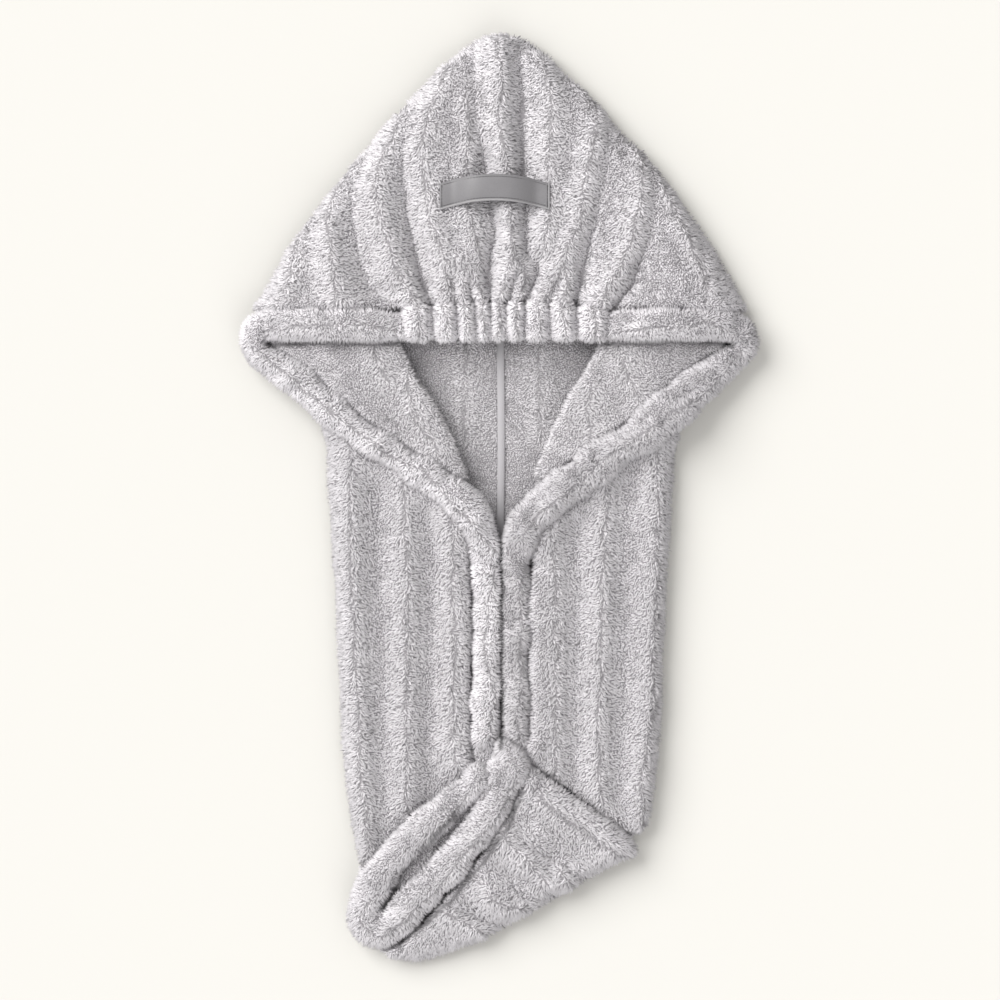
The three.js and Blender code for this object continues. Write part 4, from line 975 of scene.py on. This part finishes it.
# The share of its length that is sewn down at each end, and of its half width where the stitches run.
SEWN_SHARE = 0.1
STITCHED_AT = 0.8


def strap_place(share, aside=0.0, rise=0.0):
    """A point on the strap at that share of its way from the left end, moved aside and raised."""
    bow = 1 - (2 * share - 1) ** 2
    swell = np.clip((share - SEWN_SHARE) / (1 - 2 * SEWN_SHARE), 0, 1)
    swell = 1 - (2 * swell - 1) ** 2
    arch = swell * swell * (3 - 2 * swell)
    y = STRAP_UP + STRAP_BOW * bow + aside
    return (STRAP_LEFT + STRAP_LONG * share, y, STRAP_LOW + STRAP_RISE * arch + rise)


def make_strap():
    """The leather strap with its edging, the ridge at its right end and its rows of stitches."""
    shares = np.linspace(0, 1, 37)
    strap = band("leather_strap", [strap_place(t) for t in shares], STRAP_HALF, 14, STRAP_THICK,
                 sunk=(STITCHED_AT,), swollen=0.5)
    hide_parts("crown_strap")
    dress(strap, leather_finish)
    edging = tube("strap_edging", [strap_place(t, -8.0, 0.5) for t in shares], 0.75)
    dress(edging, edging_finish)
    right_end, ends_top = 32.0, 28.5
    seam = [(right_end, y, ends_top + 0.3 * math.cos((y - 190) / 8)) for y in np.linspace(181.9, 198.3, 9)]
    end_ridge = tube("strap_end_ridge", seam, 0.5)
    dress(end_ridge, edging_finish)
    places = np.linspace(0.03, 0.965, 36)
    rows = [[strap_place(t, side * STITCHED_AT * STRAP_HALF, 0.95) for t in places] for side in (-1, 1)]
    for x in (right_end - 1, STRAP_LEFT + 1.2):
        rows.append([(x, y, ends_top + 0.5) for y in np.linspace(183, 197.2, 8)])
    thread = stitch_rows("strap_stitches", rows)
    dress(thread, thread_finish)
    return strap, edging, end_ridge, thread


def make_binding():
    """The tape over the centre seam, from the hems' meeting point up under the casing."""
    ups = np.arange(-38, 122, 4.0)
    path = [(1.45 + 0.25 * math.sin(y / 23), y, 5.9 + 0.12 * math.sin(y / 9)) for y in ups]
    tape = band("centre_binding", path, half=2.2, lanes=6, thick=1.3, sunk=(), swollen=0.7)
    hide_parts("seam_binding")
    dress(tape, tape_finish)
    return tape


# The pile of each piece: how far apart its tufts stand, how long and how thick they are, in millimetres.
RIB_TUFTS = (0.95, 3.0, 0.52)
LAPEL_TUFTS = (0.92, 2.8, 0.5)
HEM_TUFTS = (0.88, 3.0, 0.52)
CASING_TUFTS = (0.88, 3.0, 0.5)
FLAP_TUFTS = (0.9, 3.2, 0.52)
SLIT_TUFTS = (1.0, 2.8, 0.5)
BACK_TUFTS = (0.88, 2.4, 0.48)
EDGE_TUFTS = (1.05, 2.4, 0.55)


# Which of a cloth's faces bear pile, by the places of their middles and the ways that they look.
def left_half(places, looks):
    return places[:, 0] < 0


def right_half(places, looks):
    return places[:, 0] >= 0


def make_crown():
    crown = cloth_from(
        "crown_cloth", "crown_panel", "rib_plush", grain=2.4, ease=2, sink=0.8, lumps=(1.0, 9),
        creases=CROWN_CREASES, crease_depth=4.4, crowded=[(NAPE_SEAM, 3.6, 10, 6)],
        ribs=CROWN_PARTINGS, full=2.6,
    )
    for side, seed, half in (("left", 101, left_half), ("right", 121, right_half)):
        grow_pile("crown_pile_" + side, crown, "rib_plush", RIB_TUFTS, seed, CROWN_PARTINGS,
                                CROWN_CREASES, tone_and_light=1.02, keep=half)


def make_front(side, seed):
    front = cloth_from(side + "_front_cloth", side + "_front_panel", "rib_plush", grain=3.0, ease=3,
                       sink=0.8, crowded=BESIDE_HEMS, ribs=FRONT_PARTINGS)
    pile = grow_pile(side + "_front_pile", front, "rib_plush", RIB_TUFTS, seed, FRONT_PARTINGS, tone_and_light=0.93)
    return front


def make_lapel(side, seed):
    lapel = cloth_from(side + "_lapel_cloth", side + "_lapel", "inside_plush", grain=2.4, ease=3,
                       sink=0.3, crowded=[(RIM_PARTINGS, 2.6, 21, 9)])
    pile = grow_pile(side + "_lapel_pile", lapel, "inside_plush", LAPEL_TUFTS, seed, LAPEL_PARTINGS,
                     tone_and_light=0.96)
    return lapel


def make_rim(side, seed, tone_and_light):
    rim = cloth_from(side + "_rim_cloth", side + "_rim_hem", "rib_plush", grain=1.8, ease=1, sink=-1.0,
                     lumps=(3.2, 11), creases=HEM_CREASES, crease_depth=1.8, reach=3.2,
                     crowded=[(FOLD_CORNERS, 4.2, 12, 8)])
    pile = grow_pile(side + "_rim_pile", rim, "rib_plush", HEM_TUFTS, seed, RIM_PARTINGS, down=0.3, reach=5,
                     tone_and_light=tone_and_light)


def casing_tone_and_light(roots):
    """The casing's pile is lighter in its gathered middle than at its plain ends: painted light on its lobes.
    """
    gathered_half = 64 * MM
    return np.where(np.abs(roots[:, 0]) < gathered_half, 1.18, 1.02)


def make_casing():
    casing = cloth_from("casing_cloth", "nape_casing", "rib_plush", grain=1.9, ease=1, sink=1.0,
                        lumps=(1.3, 9), creases=CASING_CREASES, crease_depth=3.0, reach=2.2,
                        crowded=[(NAPE_SEAM + CASING_ENDS, 3.0, 9, 6)])
    pile = grow_pile("casing_pile", casing, "rib_plush", CASING_TUFTS, 401, CASING_PARTINGS, CASING_CREASES,
                     reach=3, tone_and_light=casing_tone_and_light)


def make_tail_hem():
    hem = cloth_from("tail_hem_cloth", "tail_hem", "rib_plush", grain=1.8, ease=2, sink=-1.5,
                     lumps=(2.2, 12), creases=HEM_CREASES, crease_depth=1.8, reach=3.0,
                     crowded=[(FOLD_CORNERS, 4.2, 12, 8)])
    pile = grow_pile("tail_hem_pile", hem, "rib_plush", HEM_TUFTS, 501, TAIL_HEM_PARTINGS, down=0.3, reach=5,
                     tone_and_light=0.95)


def make_tail_flap():
    flap = cloth_from("tail_flap_cloth", "tail_flap", "rib_plush", grain=2.0, ease=3, sink=0.6,
                      lumps=(1.2, 14), creases=FLAP_CREASES, crease_depth=1.9, reach=2.2,
                      crowded=[(FLAP_SIDE, 3.0, 10, 7), (TAIL_EDGE, 2.8, 9, 6)],
                      ribs=FLAP_PARTINGS, full=2.0)
    pile = grow_pile("tail_flap_pile", flap, "rib_plush", FLAP_TUFTS, 601, FLAP_PARTINGS, FLAP_CREASES,
                     down=0.3, reach=11, tone_and_light=0.97)


def make_tail_inner():
    inner = cloth_from("tail_inner_cloth", "tail_inner_ply", "inside_plush", grain=2.0, ease=2, sink=-4.6)
    pile = grow_pile("tail_inner_pile", inner, "inside_plush", SLIT_TUFTS, 701, down=0.3, tone_and_light=1.1)


def back_tone_and_light(roots):
    """The back's pile is a little lighter just under the casing: painted light that thins the shade the
    casing casts there.
    """
    under_casing, fade = 84 * MM, 8 * MM
    return 0.94 + 0.2 * np.clip((roots[:, 1] - under_casing) / fade, 0, 1)


def inside_shown(places, looks):
    """The part of the back that shows in the face opening, a V that widens up to the casing."""
    foot, top, middle = -45, 112, 2
    x, y, z = (places / MM).T
    return (y > foot) & (y < top) & (np.abs(x - middle) < 8 + 0.4 * (y - foot)) & (z > 2)


def rim_of_back(places, looks):
    """The back's edge all round, which shows from the sides."""
    return (looks[:, 2] < 0.85) & (places[:, 2] > 0.4 * MM)


set_camera()
lay_floor()
light_room()

pile_effect, grain_effect = pile_colour_and_shade(), fine_grain()
plush_finishes = {}
# Each pile's root tint is painted shade; its tip tint is the cloth's own colour.
for slot, root_shade_tint, tip_tint in (
    ("rib_plush", (0.36, 0.347, 0.365), (0.875, 0.852, 0.888)),
    ("inside_plush", (0.38, 0.367, 0.385), (0.9, 0.876, 0.912)),
):
    plush_finishes[slot] = plush(slot, root_shade_tint, tip_tint, pile_effect, grain_effect)
leather_finish = leather("strap_leather", (0.165, 0.161, 0.17), grain_effect)
tape_finish = woven("binding_tape", (0.43, 0.42, 0.44), 0.5, grain_effect)
thread_finish = woven("dark_thread", (0.1, 0.098, 0.102), 0.3, grain_effect)
edging_finish = leather("edging_leather", (0.27, 0.265, 0.275), grain_effect)

make_crown()
# Painted light and shade: the left rim's pile is coloured lighter and the right rim's darker.
for side, seed, tall, rim_painted_light in (("left", 201, 0.345, 1.1), ("right", 301, 0.325, 0.86)):
    front = make_front(side, seed)
    lapel = make_lapel(side, seed + 20)
    make_rim(side, seed + 40, rim_painted_light)
make_casing()
make_tail_hem()
make_tail_flap()
make_tail_inner()

back = cloth_from("back_cloth", "back_panel", "inside_plush", grain=4.4, ease=0, sink=0.6, lumps=(0.2, 11))
back_pile = grow_pile("back_pile", back, "inside_plush", BACK_TUFTS, 801, BACK_PARTINGS, down=0.2,
                      tone_and_light=back_tone_and_light, keep=inside_shown)
strap, *strap_trim = make_strap()
tape = make_binding()
edge_pile = grow_pile("back_rim_pile", back, "inside_plush", EDGE_TUFTS, 821, down=0.0, keep=rim_of_back)
